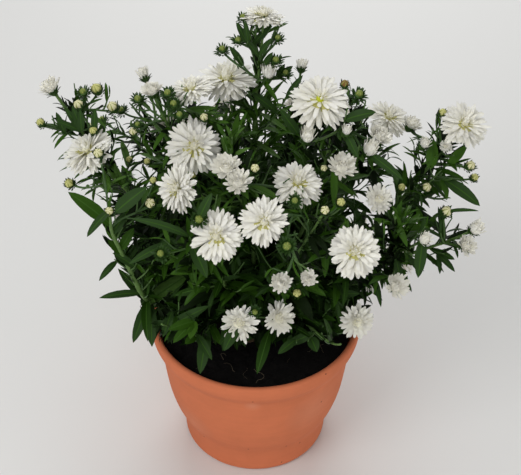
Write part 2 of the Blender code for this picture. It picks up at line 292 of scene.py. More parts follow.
def linear(code):
    """A colour given as sRGB hex, such as #b56848, as the linear values that the nodes take."""
    parts = [int(code[i : i + 2], 16) / 255.0 for i in (1, 3, 5)]
    return tuple(c / 12.92 if c <= 0.04045 else ((c + 0.055) / 1.055) ** 2.4 for c in parts)


def unit(vectors):
    """The vectors scaled to length one."""
    return vectors / np.maximum(np.linalg.norm(vectors, axis=-1, keepdims=True), 1e-9)


def square_to(vectors, direction):
    """The part of the vectors that is square to the direction, scaled to length one."""
    return unit(vectors - (vectors * direction).sum(-1, keepdims=True) * direction)


def cross_pair(direction):
    """Two directions square to the given ones and to each other."""
    guide = np.where(np.abs(direction[..., 2:]) < 0.9, UP, np.array((1.0, 0.0, 0.0)))
    first = unit(np.cross(guide, direction))
    return first, np.cross(direction, first)


def round_angles(count):
    """Angles at even steps round a full turn."""
    return np.arange(count) * 2 * np.pi / count


def spokes(angle, one, two):
    """Directions at angles from a first direction towards a second one, square to it."""
    return np.cos(angle)[..., None] * one + np.sin(angle)[..., None] * two


def curve_through(stations, values, at):
    """A curve of the third degree through the values at the stations, worked out at other places.
    Its slope at each station is that from the neighbour before to the neighbour after."""
    slopes = np.gradient(values, stations, axis=0)
    i = np.clip(np.searchsorted(stations, at, side="right") - 1, 0, len(stations) - 2)
    shape = (-1,) + (1,) * (values.ndim - 1)
    span = (stations[i + 1] - stations[i]).reshape(shape)
    t = (at - stations[i]).reshape(shape) / span
    return (
        (2 * t**3 - 3 * t**2 + 1) * values[i]
        + (t**3 - 2 * t**2 + t) * span * slopes[i]
        + (3 * t**2 - 2 * t**3) * values[i + 1]
        + (t**3 - t**2) * span * slopes[i + 1]
    )


# Surfaces


def new_piece(name, points, quads, triangles, shades, materials, slot, nodes=()):
    """A mesh object of the body from whole arrays: its points, its four-sided faces and its
    three-sided faces, and one material number for each face in that order."""
    mesh = bpy.data.meshes.new(name)
    points = np.ascontiguousarray(points, np.float32).reshape(-1, 3)
    quads = np.asarray(quads, np.int32).reshape(-1, 4)
    triangles = np.asarray(triangles, np.int32).reshape(-1, 3)
    corners = np.concatenate([quads.ravel(), triangles.ravel()])
    starts = np.concatenate(
        [np.arange(len(quads)) * 4, len(quads) * 4 + np.arange(len(triangles)) * 3]
    )
    mesh.vertices.add(len(points))
    mesh.vertices.foreach_set("co", points.ravel())
    mesh.loops.add(len(corners))
    mesh.loops.foreach_set("vertex_index", corners.astype(np.int32))
    mesh.polygons.add(len(starts))
    mesh.polygons.foreach_set("loop_start", starts.astype(np.int32))
    mesh.polygons.foreach_set("material_index", np.broadcast_to(shades, len(starts)).astype(np.int32))
    for material in materials:
        mesh.materials.append(material)
    mesh.update(calc_edges=True)
    mesh.validate()
    mesh.shade_smooth()
    piece = bpy.data.objects.new(name, mesh)
    bpy.context.scene.collection.objects.link(piece)
    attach(piece, BODY)
    if nodes:
        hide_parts(*nodes)


def blade_faces(count, stations, columns):
    """Four-sided faces of many blades, each an open grid of stations by columns, one after another."""
    corner = np.arange(stations - 1)[:, None] * columns + np.arange(columns - 1)
    grid = np.stack([corner, corner + columns, corner + columns + 1, corner + 1], -1).reshape(-1, 4)
    return (np.arange(count)[:, None, None] * stations * columns + grid).reshape(-1, 4)


def blades(base, ahead, up, length, half_width, bend, fold, twist, outline, columns, **form):
    """Thin curved blades, as an array (blade, station, column, xyz). By the share u of its length,
    a blade's midline turns evenly from 'ahead' away from 'up' by the bend, along an arc of a
    circle. By v from -1 to 1 across it, the surface reaches half the width times the outline's
    share at u, to the side that the twist turns about the midline. The margins stand up from the
    midline by the sine of the fold times |v| to the power of the crease, and ripple by the wave.
    The tip's corners draw back by the rounding times v squared times u to the fourth."""
    u = outline[:, 0][:, None]
    v = np.asarray(columns, float)[None, :]
    u = (u - form.get("rounding", 0.0) * v**2 * u**4)[None]
    share = outline[:, 1][None, :, None]

    def each(values):
        return np.broadcast_to(values, len(base))[:, None, None]

    turn = each(bend) * u
    run = each(length) * u * np.sinc(turn / np.pi)
    drop = each(length) * u * (turn / 2) * np.sinc(turn / (2 * np.pi)) ** 2
    ahead, up, base = ahead[:, None, None], up[:, None, None], base[:, None, None]
    side = np.cross(up, ahead)
    normal = np.sin(turn)[..., None] * ahead + np.cos(turn)[..., None] * up
    roll = (each(twist) * u)[..., None]
    across = np.cos(roll) * side + np.sin(roll) * normal
    above = np.cos(roll) * normal - np.sin(roll) * side
    reach = each(half_width) * share
    ripple = form.get("wave", 0.0) * np.sin(2 * np.pi * 2.4 * u + each(form.get("phase", 0.0))) * v
    height = reach * (np.sin(each(fold)) * np.abs(v) ** form.get("crease", 1.0) + ripple)
    width = reach * v * np.cos(each(fold))
    return (
        base
        + run[..., None] * ahead
        - drop[..., None] * up
        + width[..., None] * across
        + height[..., None] * above
    )


def tube_faces(count, rings, sides):
    """Faces of many closed tubes, one after another: four-sided ones between the rings, and a fan
    of three-sided ones at both ends to the end's middle, which are each tube's last two points."""
    around = np.arange(sides)
    after = (around + 1) % sides
    ring = np.arange(rings - 1)[:, None] * sides
    quads = np.stack([ring + around, ring + after, ring + sides + after, ring + sides + around], -1)
    last = (rings - 1) * sides
    first_fan = np.stack([np.full(sides, rings * sides), after, around], -1)
    last_fan = np.stack([np.full(sides, rings * sides + 1), last + around, last + after], -1)
    fans = np.concatenate([first_fan, last_fan])
    shift = np.arange(count)[:, None, None] * (rings * sides + 2)
    return (quads.reshape(-1, 4) + shift).reshape(-1, 4), (fans + shift).reshape(-1, 3)


def tubes(lines, radii, sides, relief=0.0):
    """Closed tubes as an array (tube, point, xyz), from middle lines (tube, station, xyz) and radii
    (tube, station). A ring's point lies off its middle by the radius, times one plus the relief,
    towards its angle about the line. The rings keep one side direction for a whole tube, so they
    don't turn about the line."""
    along = unit(np.gradient(lines, axis=1))
    guide, _ = cross_pair(unit(lines[:, -1] - lines[:, 0]))
    first = square_to(np.broadcast_to(guide[:, None], along.shape), along)
    second = np.cross(along, first)
    spoke = spokes(round_angles(sides), first[:, :, None], second[:, :, None])
    reach = (radii[:, :, None] * (1.0 + relief))[..., None]
    rings = (lines[:, :, None] + reach * spoke).reshape(len(lines), -1, 3)
    return np.concatenate([rings, lines[:, :1], lines[:, -1:]], axis=1)


def turned_piece(name, radii, heights, turns, finish, slot, node, swell=0.0, lift=0.0):
    """A turned surface in the place of a node: at each station of the profile a ring of the radius
    plus the swell, at the height plus the lift, with the profile's ends closed on the axis."""
    angle = round_angles(turns)
    reach = radii[:, None] + swell
    level = heights[:, None] + lift + 0 * reach
    points = np.stack([reach * np.cos(angle), reach * np.sin(angle), level], -1)
    ends = [(0.0, 0.0, points[0, :, 2].mean()), (0.0, 0.0, points[-1, :, 2].mean())]
    points = np.concatenate([points.reshape(-1, 3), ends])
    new_piece(name, points, *tube_faces(1, len(radii), turns), 0, [finish], slot, [node])


def tube_piece(name, lines, radii, sides, shades, finishes, slot, nodes=(), relief=0.0, fold=None):
    """A piece of closed tubes with a material number for each. One face in four round them may have
    the number of the folds."""
    count = len(lines)
    quads, fans = tube_faces(count, lines.shape[1], sides)
    shades = np.broadcast_to(shades, count)
    sheet = shades.repeat(len(quads) // count).reshape(count, -1, sides)
    if fold is not None:
        sheet[:, :, ::4] = fold
    shades = np.concatenate([sheet.ravel(), shades.repeat(len(fans) // count)])
    points = tubes(lines, radii, sides, relief)
    new_piece(name, points, quads, fans, shades, finishes, slot, nodes)


def run_along(points):
    """Distance of each point of a line from its first, along it."""
    return np.concatenate([[0.0], np.cumsum(np.linalg.norm(np.diff(points, axis=0), axis=1))])


def smooth_line(points, spacing):
    """Points at an even spacing on the curve of the third degree through the given ones."""
    run = run_along(points)
    return curve_through(run, points, np.linspace(0.0, run[-1], max(3, round(run[-1] / spacing) + 1)))


def grown_line(start, leave, end, arrive, stations, pull=0.36):
    """Points on a curve of the third degree from the start, which it leaves along one direction, to
    the end, where it arrives along another. Each direction pulls for a share of the span."""
    reach = pull * np.linalg.norm(end - start)
    first, last = start + reach * leave, end - reach * arrive
    t = np.linspace(0.0, 1.0, stations)[:, None]
    return (1 - t) ** 3 * start + 3 * t * (1 - t) ** 2 * first + 3 * t**2 * (1 - t) * last + t**3 * end


def along_line(points, shares):
    """Places and directions at shares of the length of a line of points."""
    run = run_along(points)
    slopes = unit(np.gradient(points, run, axis=0))
    at = np.asarray(shares) * run[-1]
    place = np.stack([np.interp(at, run, points[:, k]) for k in range(3)], -1)
    slope = np.stack([np.interp(at, run, slopes[:, k]) for k in range(3)], -1)
    return place, unit(slope)


def line_length(points):
    """Sum of the distances between the points of a line."""
    return float(np.linalg.norm(np.diff(points, axis=0), axis=1).sum())


# What the frame gives


def node_corners(name):
    """The separate corner points of a node of the frame."""
    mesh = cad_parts[name].data
    corners = np.empty(len(mesh.vertices) * 3, np.float32)
    mesh.vertices.foreach_get("co", corners)
    return np.unique(np.round(corners.reshape(-1, 3).astype(float), 5), axis=0)


def limb_line(name):
    """Middles of the rings that a limb's solid is built on, from the stem's head outwards."""
    corners = node_corners("limb_" + name)
    order = np.argsort(np.linalg.norm(corners - STEM_HEAD, axis=1))
    return corners[order].reshape(LIMB_RINGS, -1, 3).mean(axis=1)


def node_tree(names):
    """A search tree over the faces of the nodes, with the name of the node of each face."""
    points, faces, owners = [], [], []
    for name in names:
        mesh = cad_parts[name].data
        first = len(points)
        points += [vertex.co.copy() for vertex in mesh.vertices]
        faces += [[first + i for i in face.vertices] for face in mesh.polygons]
        owners += [name] * len(mesh.polygons)
    return BVHTree.FromPolygons(points, faces), owners


def masses_tree(masses):
    """A search tree over the faces of the masses, with the name of the node of each face."""
    return node_tree(["mass_" + mass.name for mass in masses])


def read_mass(name):
    """A mass of the frame with its limb: the limb's tip is the mass's foot, and the mass's tip is
    its corner furthest along the limb's last direction."""
    line = limb_line(name)
    corners = node_corners("mass_" + name)
    tree, _ = node_tree(["mass_" + name])
    axis = unit(line[-1] - line[-2])
    tip = corners[np.argmax((corners - line[-1]) @ axis)]
    return Mass(name, corners, corners.mean(axis=0), tree, line, line[-1], axis, tip)


def outside_by(tree, point):
    """How far a point lies outside a closed form, or less than nothing inside it."""
    nearest, normal, _, distance = tree.find_nearest(Vector(point))
    return distance if (Vector(point) - nearest).dot(normal) > 0 else -distance


def camera_axes():
    """The camera's right, up and forward directions: turned by the yaw about the upright, then
    down by the pitch, then by the roll about its own line of sight."""
    sin_yaw, cos_yaw = math.sin(CAMERA_YAW), math.cos(CAMERA_YAW)
    sin_pitch, cos_pitch = math.sin(CAMERA_PITCH), math.cos(CAMERA_PITCH)
    forward = np.array((sin_yaw * cos_pitch, cos_yaw * cos_pitch, -sin_pitch))
    level = np.array((cos_yaw, -sin_yaw, 0.0))
    upward = np.array((sin_yaw * sin_pitch, cos_yaw * sin_pitch, cos_pitch))
    sin_roll, cos_roll = math.sin(CAMERA_ROLL), math.cos(CAMERA_ROLL)
    return cos_roll * level + sin_roll * upward, cos_roll * upward - sin_roll * level, forward


def sight_line(across, down):
    """Direction from the camera through a pixel of the photograph."""
    right, upward, forward = camera_axes()
    aside = (across - PHOTO_WIDTH / 2) / FOCAL_PIXELS
    below = (down - PHOTO_HEIGHT / 2) / FOCAL_PIXELS
    return unit(forward + aside * right - below * upward)


def beside_ray(points, ray):
    """How far off the camera points lie along a line of sight, and how far beside it."""
    depth = (points - CAMERA_PLACE) @ ray
    return depth, np.linalg.norm(points - CAMERA_PLACE - depth[:, None] * ray, axis=1)


def pixels_of(points):
    """Pixels of the photograph, across and down, at which points in space show."""
    right, upward, forward = camera_axes()
    way = points - CAMERA_PLACE
    depth = way @ forward
    across = PHOTO_WIDTH / 2 + FOCAL_PIXELS * (way @ right) / depth
    down = PHOTO_HEIGHT / 2 - FOCAL_PIXELS * (way @ upward) / depth
    return across, down


def past_edges(points):
    """Which points show past the foliage's edges in the photograph."""
    across, down = pixels_of(points)
    lower, left, right = (np.array(edge) for edge in (LOWER_EDGE, LEFT_EDGE, RIGHT_EDGE))
    below = down > np.interp(across, lower[:, 0], lower[:, 1], left=np.inf, right=np.inf)
    aside = across < np.interp(down, left[:, 0], left[:, 1], left=-np.inf, right=-np.inf)
    beyond = across > np.interp(down, right[:, 0], right[:, 1], left=np.inf, right=np.inf)
    return below | beyond | (aside & (points[..., 1] < 0.05))


# Growth


CROWN_HEART = np.array((0.0, 0.0, 0.165))


def natural_facing(place):
    """How a head faces by itself: outwards from the heart of the crown, and up."""
    return unit(unit(place - CROWN_HEART) + 0.55 * UP)


def shown_heads(masses):
    """The photograph's blooms and buds. Each lies where its line of sight meets the masses of the
    frame, or, past their outline, where it passes their corners nearest."""
    tree, owners = masses_tree(masses)
    corners = np.concatenate([mass.corners for mass in masses])
    corner_owners = [mass.name for mass in masses for _ in mass.corners]
    heads = []
    for kind, rows in SHOWN_HEADS.items():
        for shown in (Shown(*row) for row in rows):
            ray = sight_line(shown.across, shown.down)
            hit, _, face, _ = tree.ray_cast(Vector(CAMERA_PLACE), Vector(ray))
            if hit is not None:
                place, owner = np.array(hit), owners[face][len("mass_") :]
            else:
                depth, off = beside_ray(corners, ray)
                nearest = int(np.argmin(off))
                place, owner = CAMERA_PLACE + depth[nearest] * ray, corner_owners[nearest]
            place = place + shown.behind * MM * ray
            to_viewer = unit(CAMERA_PLACE - place)
            facing = (1 - shown.facing) * natural_facing(place) + shown.facing * to_viewer
            facing = unit(facing + shown.aside * camera_axes()[0])
            heads.append(Head(kind, place, facing, shown.width * MM / 2, owner, True))
    return heads


# Heads on the sides that the photograph doesn't show: kind, least distance between two of them,
# the range of their widths, and how much of the masses must cover them, all in millimetres, the
# pixel of the photograph that they must lie below, and how far aside of the middle they may lie
HiddenKind = namedtuple("HiddenKind", "kind apart narrow wide cover below aside", defaults=(1.0,))
HIDDEN_KINDS = (
    HiddenKind("open", 40, 26, 36, 60, 128),
    HiddenKind("open", 36, 24, 32, 44, 150),
    HiddenKind("open", 38, 26, 34, 50, 88, 0.065),
    HiddenKind("cup", 46, 13, 18, 62, 138),
    HiddenKind("barrel", 42, 8, 12, 55, 130),
    HiddenKind("green", 32, 7, 9, 48, 100),
    HiddenKind("bud", 20, 5, 7, 48, 100),
)
HIDDEN_TRIALS = 160
COVER = 0.015
LOWEST_HEAD = 0.135
# Free air before a head, and its least distance to any other head and to an open bloom
OPEN_AIR = 0.018
HEADS_APART = 11 * MM
FROM_BLOOMS = 22 * MM


def cover_of(tree, point):
    """How much of the line from the camera to a point runs inside the masses."""
    sight = Vector(point - CAMERA_PLACE)
    direction = sight.normalized()
    inside, travelled = 0.0, 0.0
    while travelled < sight.length:
        hit, normal, _, met = tree.ray_cast(Vector(CAMERA_PLACE) + travelled * direction, direction)
        if hit is None:
            return inside
        step = min(met, sight.length - travelled)
        if normal.dot(direction) > 0:
            inside += step
        travelled += met + 0.01 * MM
    return inside


def least_cover(tree, place):
    """How much of the masses lies before a bloom at the place, where it is least to its edge."""
    right, upward, _ = camera_axes()
    edge = place + COVER * spokes(round_angles(8), right, upward)
    return min(cover_of(tree, point) for point in [place, *edge])


def hidden_heads(masses, rng, heads):
    """Blooms and buds for the sides that the photograph doesn't show, spaced like those that it
    shows: seeded places on the outside of the crown that the masses hide from the camera."""
    tree, _ = masses_tree(masses)
    trials = []
    for mass in masses:
        for direction in unit(rng.normal(size=(HIDDEN_TRIALS, 3))):
            if direction @ mass.axis < -0.1:
                continue
            hit, normal, _, _ = mass.tree.ray_cast(Vector(mass.centre), Vector(direction))
            if hit is None or hit.z < LOWEST_HEAD or normal.z < -0.35:
                continue
            start = hit + 0.002 * normal
            if tree.ray_cast(start, normal, OPEN_AIR)[0] is not None:
                continue
            if normal.dot(hit - Vector(CAMERA_PLACE)) < 0:
                continue
            place = np.array(hit)
            trials.append((place, mass.name, least_cover(tree, place), pixels_of(place)[1]))
    added = []
    for kind in HIDDEN_KINDS:
        for index in rng.permutation(len(trials)):
            place, name, cover, down = trials[index]
            if cover < kind.cover * MM or down < kind.below or abs(place[0]) > kind.aside:
                continue
            near = [head for head in heads + added if head.kind != "shoot"]
            away = np.linalg.norm(np.array([head.place for head in near]) - place, axis=1)
            if away.min() < HEADS_APART:
                continue
            like = [a for a, head in zip(away, near, strict=True) if head.kind == kind.kind]
            bigger = [a for a, head in zip(away, near, strict=True) if head.kind in OPEN_KINDS]
            if min(like, default=1.0) < kind.apart * MM or min(bigger, default=1.0) < FROM_BLOOMS:
                continue
            facing = unit(natural_facing(place) + 0.25 * rng.normal(size=3))
            radius = rng.uniform(kind.narrow, kind.wide) * MM / 2
            added.append(Head(kind.kind, place, facing, radius, name, False))
    return added


# How deep a head's stalk ends below its middle, as shares of its radius
SEAT_DEPTHS = {"open": 0.25, "eyed": 0.25, "young": 0.3, "cup": 0.35, "barrel": 0.7}
BUD_DEPTH = 0.6


def seat_of(head):
    """The top of a head's stalk, below the middle of its petals or bracts."""
    return head.place - SEAT_DEPTHS.get(head.kind, BUD_DEPTH) * head.radius * head.facing


STALK_RADIUS = {"open": 0.95 * MM, "eyed": 0.95 * MM, "cup": 0.90 * MM, "barrel": 0.85 * MM}
THIN_STALK = 0.70 * MM
TWIG_STATIONS = 14
FREE_SHARE = 0.62
# Tolls on the way of a twig to its head, in metres: for a turn away from the wood, for a level way,
# and for one shorter than a stalk
TURN_TOLL = 0.020
LEVEL_TOLL = 0.012
SHORT_TOLL = 0.012
SHORT_WAY = 0.020


def side_twig(head, wood, rng, mass):
    """A twig from the wood that is there to a head. It starts where the distance to the head is
    least, with a toll for each turn away from the wood's own direction, for a way that doesn't
    rise, and for one too short for a stalk."""
    seat = seat_of(head)
    places = np.concatenate([points for points, _, _ in wood])
    slopes = np.concatenate([slope for _, slope, _ in wood])
    radii = np.concatenate([radius for _, _, radius in wood])
    way = seat - places
    distance = np.linalg.norm(way, axis=1)
    turn = 1.0 - (unit(way) * slopes).sum(axis=1)
    level = 1.0 - unit(way)[:, 2]
    short = distance < SHORT_WAY
    best = int(np.argmin(distance + TURN_TOLL * turn + LEVEL_TOLL * level + SHORT_TOLL * short))
    straight = unit(way[best])
    leave = unit(slopes[best] + (0.9 + turn[best]) * straight + 0.10 * rng.normal(size=3))
    arrive = unit(head.facing + (0.9 + max(0.0, -float(head.facing @ straight))) * straight)
    points = grown_line(places[best], leave, seat, arrive, TWIG_STATIONS)
    end = STALK_RADIUS.get(head.kind, THIN_STALK)
    root = min(0.85 * radii[best], 1.05 * MM + 0.004 * distance[best])
    radii = np.linspace(max(root, end), end, TWIG_STATIONS)
    return Twig(points, radii, "flowering", head, int(rng.integers(0, 5)), mass.name)


def wood_of(twig):
    """Points of a twig that others may start from, with their directions and radii. The stalk of a
    head stays free."""
    slopes = unit(np.gradient(twig.points, axis=0))
    share = EDGE_WOOD if twig.kind == "leader" and twig.mass == EDGE_BOUGH else FREE_SHARE
    last = round(share * len(twig.points)) if twig.head is not None else len(twig.points)
    first = 2 if twig.kind == "flowering" else 0
    return twig.points[first:last], slopes[first:last], twig.radii[first:last]


# Spacing, first place along the wood and lengths of the leafy shoots on a kind of wood
SHOOTS_ON = {
    "limb": (3.2 * MM, 0.20, (14 * MM, 42 * MM)),
    "leader": (3.4 * MM, 0.04, (12 * MM, 34 * MM)),
    "flowering": (5.2 * MM, 0.12, (8 * MM, 22 * MM)),
}
SHOOT_STATIONS = 7
# The leafy heart of the crown: its radius at heights
INNER_HEIGHTS = (0.122, 0.255, 0.305)
INNER_RADII = (0.078, 0.078, 0.040)


def in_heart(points):
    """Which points lie in the leafy heart of the crown, between the masses."""
    room = np.interp(points[..., 2], INNER_HEIGHTS, INNER_RADII, left=0.0, right=0.0)
    return np.hypot(points[..., 0], points[..., 1]) < room


def in_crown(tree, point):
    """Whether a point lies in the masses, or in the leafy heart of the crown between them."""
    if past_edges(point):
        return False
    return bool(in_heart(point)) or outside_by(tree, point) < 2.0 * MM


def edge_bough(foot, end):
    """The line of the bough at the left edge: through its pixels in the photograph, at distances
    from the camera that pass evenly from the limb's to the bud's."""
    pixels = np.array(EDGE_PIXELS, float)
    near, far = (np.linalg.norm(point - CAMERA_PLACE) for point in (foot, end))
    shares = np.linspace(0.0, 1.0, len(pixels) + 2)[1:-1]
    rays = [sight_line(*pixel) for pixel in pixels]
    middle = [
        CAMERA_PLACE + (near + share * (far - near)) * ray
        for share, ray in zip(shares, rays, strict=True)
    ]
    return smooth_line(np.array([foot, *middle, end]), 3 * MM)


def leafy_shoots(twig, tree, rng):
    """Short leafy side shoots, which leave a twig at even steps round the golden angle and bend
    up. A shoot that would end outside the crown isn't grown."""
    spacing, first, reaches = SHOOTS_ON[twig.kind]
    last = FREE_SHARE if twig.head is not None else 0.98
    count = int(line_length(twig.points) * (last - first) / spacing)
    if count < 1:
        return []
    shares = np.linspace(first, last, count) + rng.uniform(-0.02, 0.02, count)
    places, slopes = along_line(twig.points, shares)
    one, two = cross_pair(slopes)
    angle = rng.uniform(0, 2 * np.pi) + np.arange(count) * GOLDEN_ANGLE
    outward = spokes(angle, one, two)
    shoots = []
    for k in range(count):
        reach = rng.uniform(*reaches)
        leave = unit(outward[k] + 0.7 * slopes[k])
        end = places[k] + reach * unit(0.9 * outward[k] + 0.6 * slopes[k] + 0.55 * UP)
        if not in_crown(tree, end):
            continue
        arrive = unit(0.6 * leave + 0.4 * UP + 0.2 * slopes[k])
        points = grown_line(places[k], leave, end, arrive, SHOOT_STATIONS)
        radii = np.linspace(0.72, 0.40, SHOOT_STATIONS) * MM
        shoots.append(Twig(points, radii, "leafy", None, int(rng.integers(0, 5)), twig.mass))
    return shoots


def head_at(heads, pixel):
    """The head that shows nearest to a pixel of the photograph."""
    across, down = pixels_of(np.array([head.place for head in heads]))
    return heads[int(np.argmin(np.hypot(across - pixel[0], down - pixel[1])))]


def grow_mass(mass, heads, tree, rng, wood_beside=()):
    """The branching rule for one mass. Its leader runs on from the limb to the head furthest along
    it, or to the tip. Side twigs reach the other heads, the furthest first, and each starts from
    the wood that is there by then. Leafy shoots fill the rest."""
    radii = np.linspace(LIMB_ROOT_RADIUS, LIMB_TIP_RADIUS, LIMB_RINGS)
    limb = Twig(mass.line, radii, "limb", None, int(rng.integers(0, 5)), mass.name)
    ahead = [h for h in heads if unit(h.place - mass.foot) @ mass.axis > 0.70]
    ahead.sort(key=lambda h: float((h.place - mass.foot) @ mass.axis))
    goal = ahead[-1] if ahead else None
    if mass.name == EDGE_BOUGH:
        goal = head_at(heads, EDGE_BUDS[0])
    end = seat_of(goal) if goal else mass.tip - 6 * MM * mass.axis
    arrive = unit(goal.facing + mass.axis) if goal else unit(mass.axis + 0.5 * UP)
    points = grown_line(mass.foot, mass.axis, end, arrive, 3 * TWIG_STATIONS)
    if mass.name == EDGE_BOUGH:
        points = edge_bough(mass.foot, end)
    thin = STALK_RADIUS.get(goal.kind, THIN_STALK) if goal else THIN_STALK
    taper = thin + (LIMB_TIP_RADIUS - thin) * (1.0 - np.linspace(0, 1, len(points))) ** 2
    leader = Twig(points, taper, "leader", goal, limb.shade, mass.name)
    start = (mass.line[LIMB_RINGS // 2 :], unit(np.gradient(mass.line, axis=0))[LIMB_RINGS // 2 :])
    wood = [(*start, radii[LIMB_RINGS // 2 :]), wood_of(leader), *wood_beside]
    twigs = [limb, leader]
    rest = [h for h in heads if h is not goal]
    rest.sort(key=lambda h: -float(np.linalg.norm(h.place - mass.foot)))
    for head in rest:
        twig = side_twig(head, wood, rng, mass)
        wood.append(wood_of(twig))
        twigs.append(twig)
    for twig in list(twigs):
        twigs += leafy_shoots(twig, tree, rng)
    return twigs


@functools.cache
def plant(seed):
    """The whole plant for a seed: the frame's masses, all heads and all twigs."""
    rng = np.random.default_rng(seed)
    names = sorted(name[len("mass_") :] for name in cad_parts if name.startswith("mass_"))
    masses = [read_mass(name) for name in names]
    heads = shown_heads(masses)
    heads = heads + hidden_heads(masses, rng, heads)
    tree, _ = masses_tree(masses)
    for pixel in EDGE_BUDS:
        bud = head_at(heads, pixel)
        heads = [head._replace(mass=EDGE_BOUGH) if head is bud else head for head in heads]
    twigs, edge = [], []
    for mass in sorted(masses, key=lambda mass: mass.name != EDGE_BOUGH):
        beside = edge if mass.name in EDGE_GUESTS else []
        twigs += grow_mass(mass, [h for h in heads if h.mass == mass.name], tree, rng, beside)
        if mass.name == EDGE_BOUGH:
            edge = [wood_of(twig) for twig in twigs if twig.kind == "leader"]
    return masses, heads, twigs


# Leaves


# How leaves sit on a kind of wood: their spacing, the span of the wood that carries them, their
# length at the start and end of it, their breadth as a share of the length, and the ranges of the
# angle that they leave at and of their bend
Foliage = namedtuple("Foliage", "spacing span lengths breadth leave bend")
FOLIAGE = {
    "limb": Foliage(3.8 * MM, (0.15, 1.0), (32 * MM, 44 * MM), 0.23, (40, 75), (30, 95)),
    "leader": Foliage(3.4 * MM, (0.0, 0.84), (40 * MM, 14 * MM), 0.22, (28, 60), (15, 80)),
    "flowering": Foliage(3.6 * MM, (0.06, 0.70), (25 * MM, 10 * MM), 0.24, (24, 54), (10, 62)),
    "leafy": Foliage(2.8 * MM, (0.10, 1.0), (28 * MM, 10 * MM), 0.23, (28, 62), (15, 75)),
    "tip": Foliage(2.8 * MM, (0.08, 1.0), (30 * MM, 14 * MM), 0.26, (22, 52), (10, 60)),
}
BRACTS = Foliage(2.4 * MM, (0.58, 0.98), (8 * MM, 5 * MM), 0.28, (14, 36), (0, 50))
SMALL_LEAF = 19 * MM
LEAF_HEIGHTS = (0.15, 0.275)
# Painted light and shade: the leaves' green is darkest at the middle one of these heights
PAINTED_SHADE_HEIGHTS = (0.116, 0.145, 0.265)
# Stations along a leaf and columns across it, in its three sizes: large, small and bract
LEAF_FORMS = (
    (np.array((0.0, 0.08, 0.22, 0.40, 0.58, 0.75, 0.89, 1.0)), (-1.0, -0.10, 0.10, 1.0)),
    (np.array((0.0, 0.14, 0.36, 0.60, 0.82, 1.0)), (-1.0, 0.0, 1.0)),
    (np.array((0.0, 0.30, 0.68, 1.0)), (-1.0, 0.0, 1.0)),
)

# Living leaves: six greens dealt out by spray and by height, as painted light and shade: lighter
# towards the top, a little lighter low at the rim, darkest between. A fresh green for the young
# growth, a paler midrib, and a deep green of painted shade for leaves deep inside the crown. Their skin is
# a little waxy, so it shines softly where it faces the light.
LEAF_COLOURS = {
    "leaf_green_1": "#182f05",
    "leaf_green_2": "#203c08",
    "leaf_green_3": "#2a421c",
    "leaf_green_4": "#2c4c0d",
    "leaf_green_5": "#385a16",
    "leaf_green_6": "#456527",
    "young_leaf": "#3a5f10",
    "leaf_midrib": "#35561a",
    "old_leaf": "#101f05",
}
SPRAY_SHADES = 3
YOUNG_LEAF, LEAF_MIDRIB, PAINTED_SHADE_LEAF = 6, 7, 8


def leaf_outline(stations):
    """Half width of a lance-shaped leaf along its length: a narrow foot, widest at the middle, and
    drawn in to a short point: one less the square of twice the distance to the middle, to a power."""
    share = (1.0 - (2.0 * stations**0.92 - 1.0) ** 2) ** 0.80
    share = share + 0.16 * (1.0 - stations) ** 3 + 0.015
    return np.stack([stations, share], -1)


def leaves_on(twig, foliage, rng, size):
    """Leaves along a twig at even steps, each the golden angle on from the one before."""
    length = line_length(twig.points)
    first, last = foliage.span
    count = max(1, int(length * (last - first) / foliage.spacing))
    shares = np.linspace(first, last, count) + rng.uniform(-0.3, 0.3, count) * foliage.spacing / length
    shares = np.clip(shares, 0.0, 1.0)
    base, slope = along_line(twig.points, shares)
    one, two = cross_pair(slope)
    angle = rng.uniform(0, 2 * np.pi) + np.arange(count) * GOLDEN_ANGLE + rng.normal(0, 0.25, count)
    outward = spokes(angle, one, two)
    upright = np.interp(base[:, 2], LEAF_HEIGHTS, (1.0, 0.72))
    leave = (np.radians(rng.uniform(*foliage.leave, count)) * upright)[:, None]
    ahead = unit(np.cos(leave) * slope + np.sin(leave) * outward)
    up = square_to(0.55 * UP + 0.45 * slope + 0.12 * rng.normal(size=(count, 3)), ahead)
    # Leaves are shorter and narrower the higher they grow
    low = np.interp(base[:, 2], LEAF_HEIGHTS, (1.0, 0.0))
    long = np.interp(shares, foliage.span, foliage.lengths) * rng.uniform(0.70, 1.20, count)
    long = long * (0.76 + 0.32 * low) if size is None else long
    half_width = long * foliage.breadth / 2 * rng.uniform(0.80, 1.2, count) * (0.80 + 0.24 * low)
    bend = np.radians(rng.uniform(*foliage.bend, count)) * upright
    fold = np.radians(rng.uniform(8, 32, count))
    twist = rng.normal(0, 0.35, count)
    spray = np.where(rng.random(count) < 0.2, rng.integers(0, SPRAY_SHADES, count), twig.shade)
    # Painted light and shade by height: the darkest greens at the middle height, lighter ones above it
    painted_shade = np.interp(base[:, 2], PAINTED_SHADE_HEIGHTS, (0.4, 1.0, 0.0))
    shade = spray % SPRAY_SHADES + np.round(SPRAY_SHADES * (1.0 - painted_shade)).astype(int)
    sizes = np.full(count, size) if size else np.where(long > SMALL_LEAF, 0, 1)
    owners = np.full(count, twig.mass)
    return Leaves(base, ahead, up, long, half_width, bend, fold, twist, shade, sizes, owners)


def joined_leaves(groups):
    """Groups of leaves as one, in their order."""
    return Leaves(*[np.concatenate(columns) for columns in zip(*groups, strict=True)])


def chosen_leaves(leaves, mask):
    """The leaves that the mask marks."""
    return Leaves(*[column[mask] for column in leaves])


def midline_points(leaves, shares):
    """Points on the leaves' midlines at shares of their length, as (leaf, share, xyz)."""
    turn = leaves.bend[:, None] * shares
    run = leaves.length[:, None] * shares * np.sinc(turn / np.pi)
    drop = leaves.length[:, None] * shares * (turn / 2) * np.sinc(turn / (2 * np.pi)) ** 2
    forward = run[..., None] * leaves.ahead[:, None]
    return leaves.base[:, None] + forward - drop[..., None] * leaves.up[:, None]


RIM_INSIDE = 0.0735
RIM_OUTSIDE = 0.0822
ABOVE_RIM = 0.1170


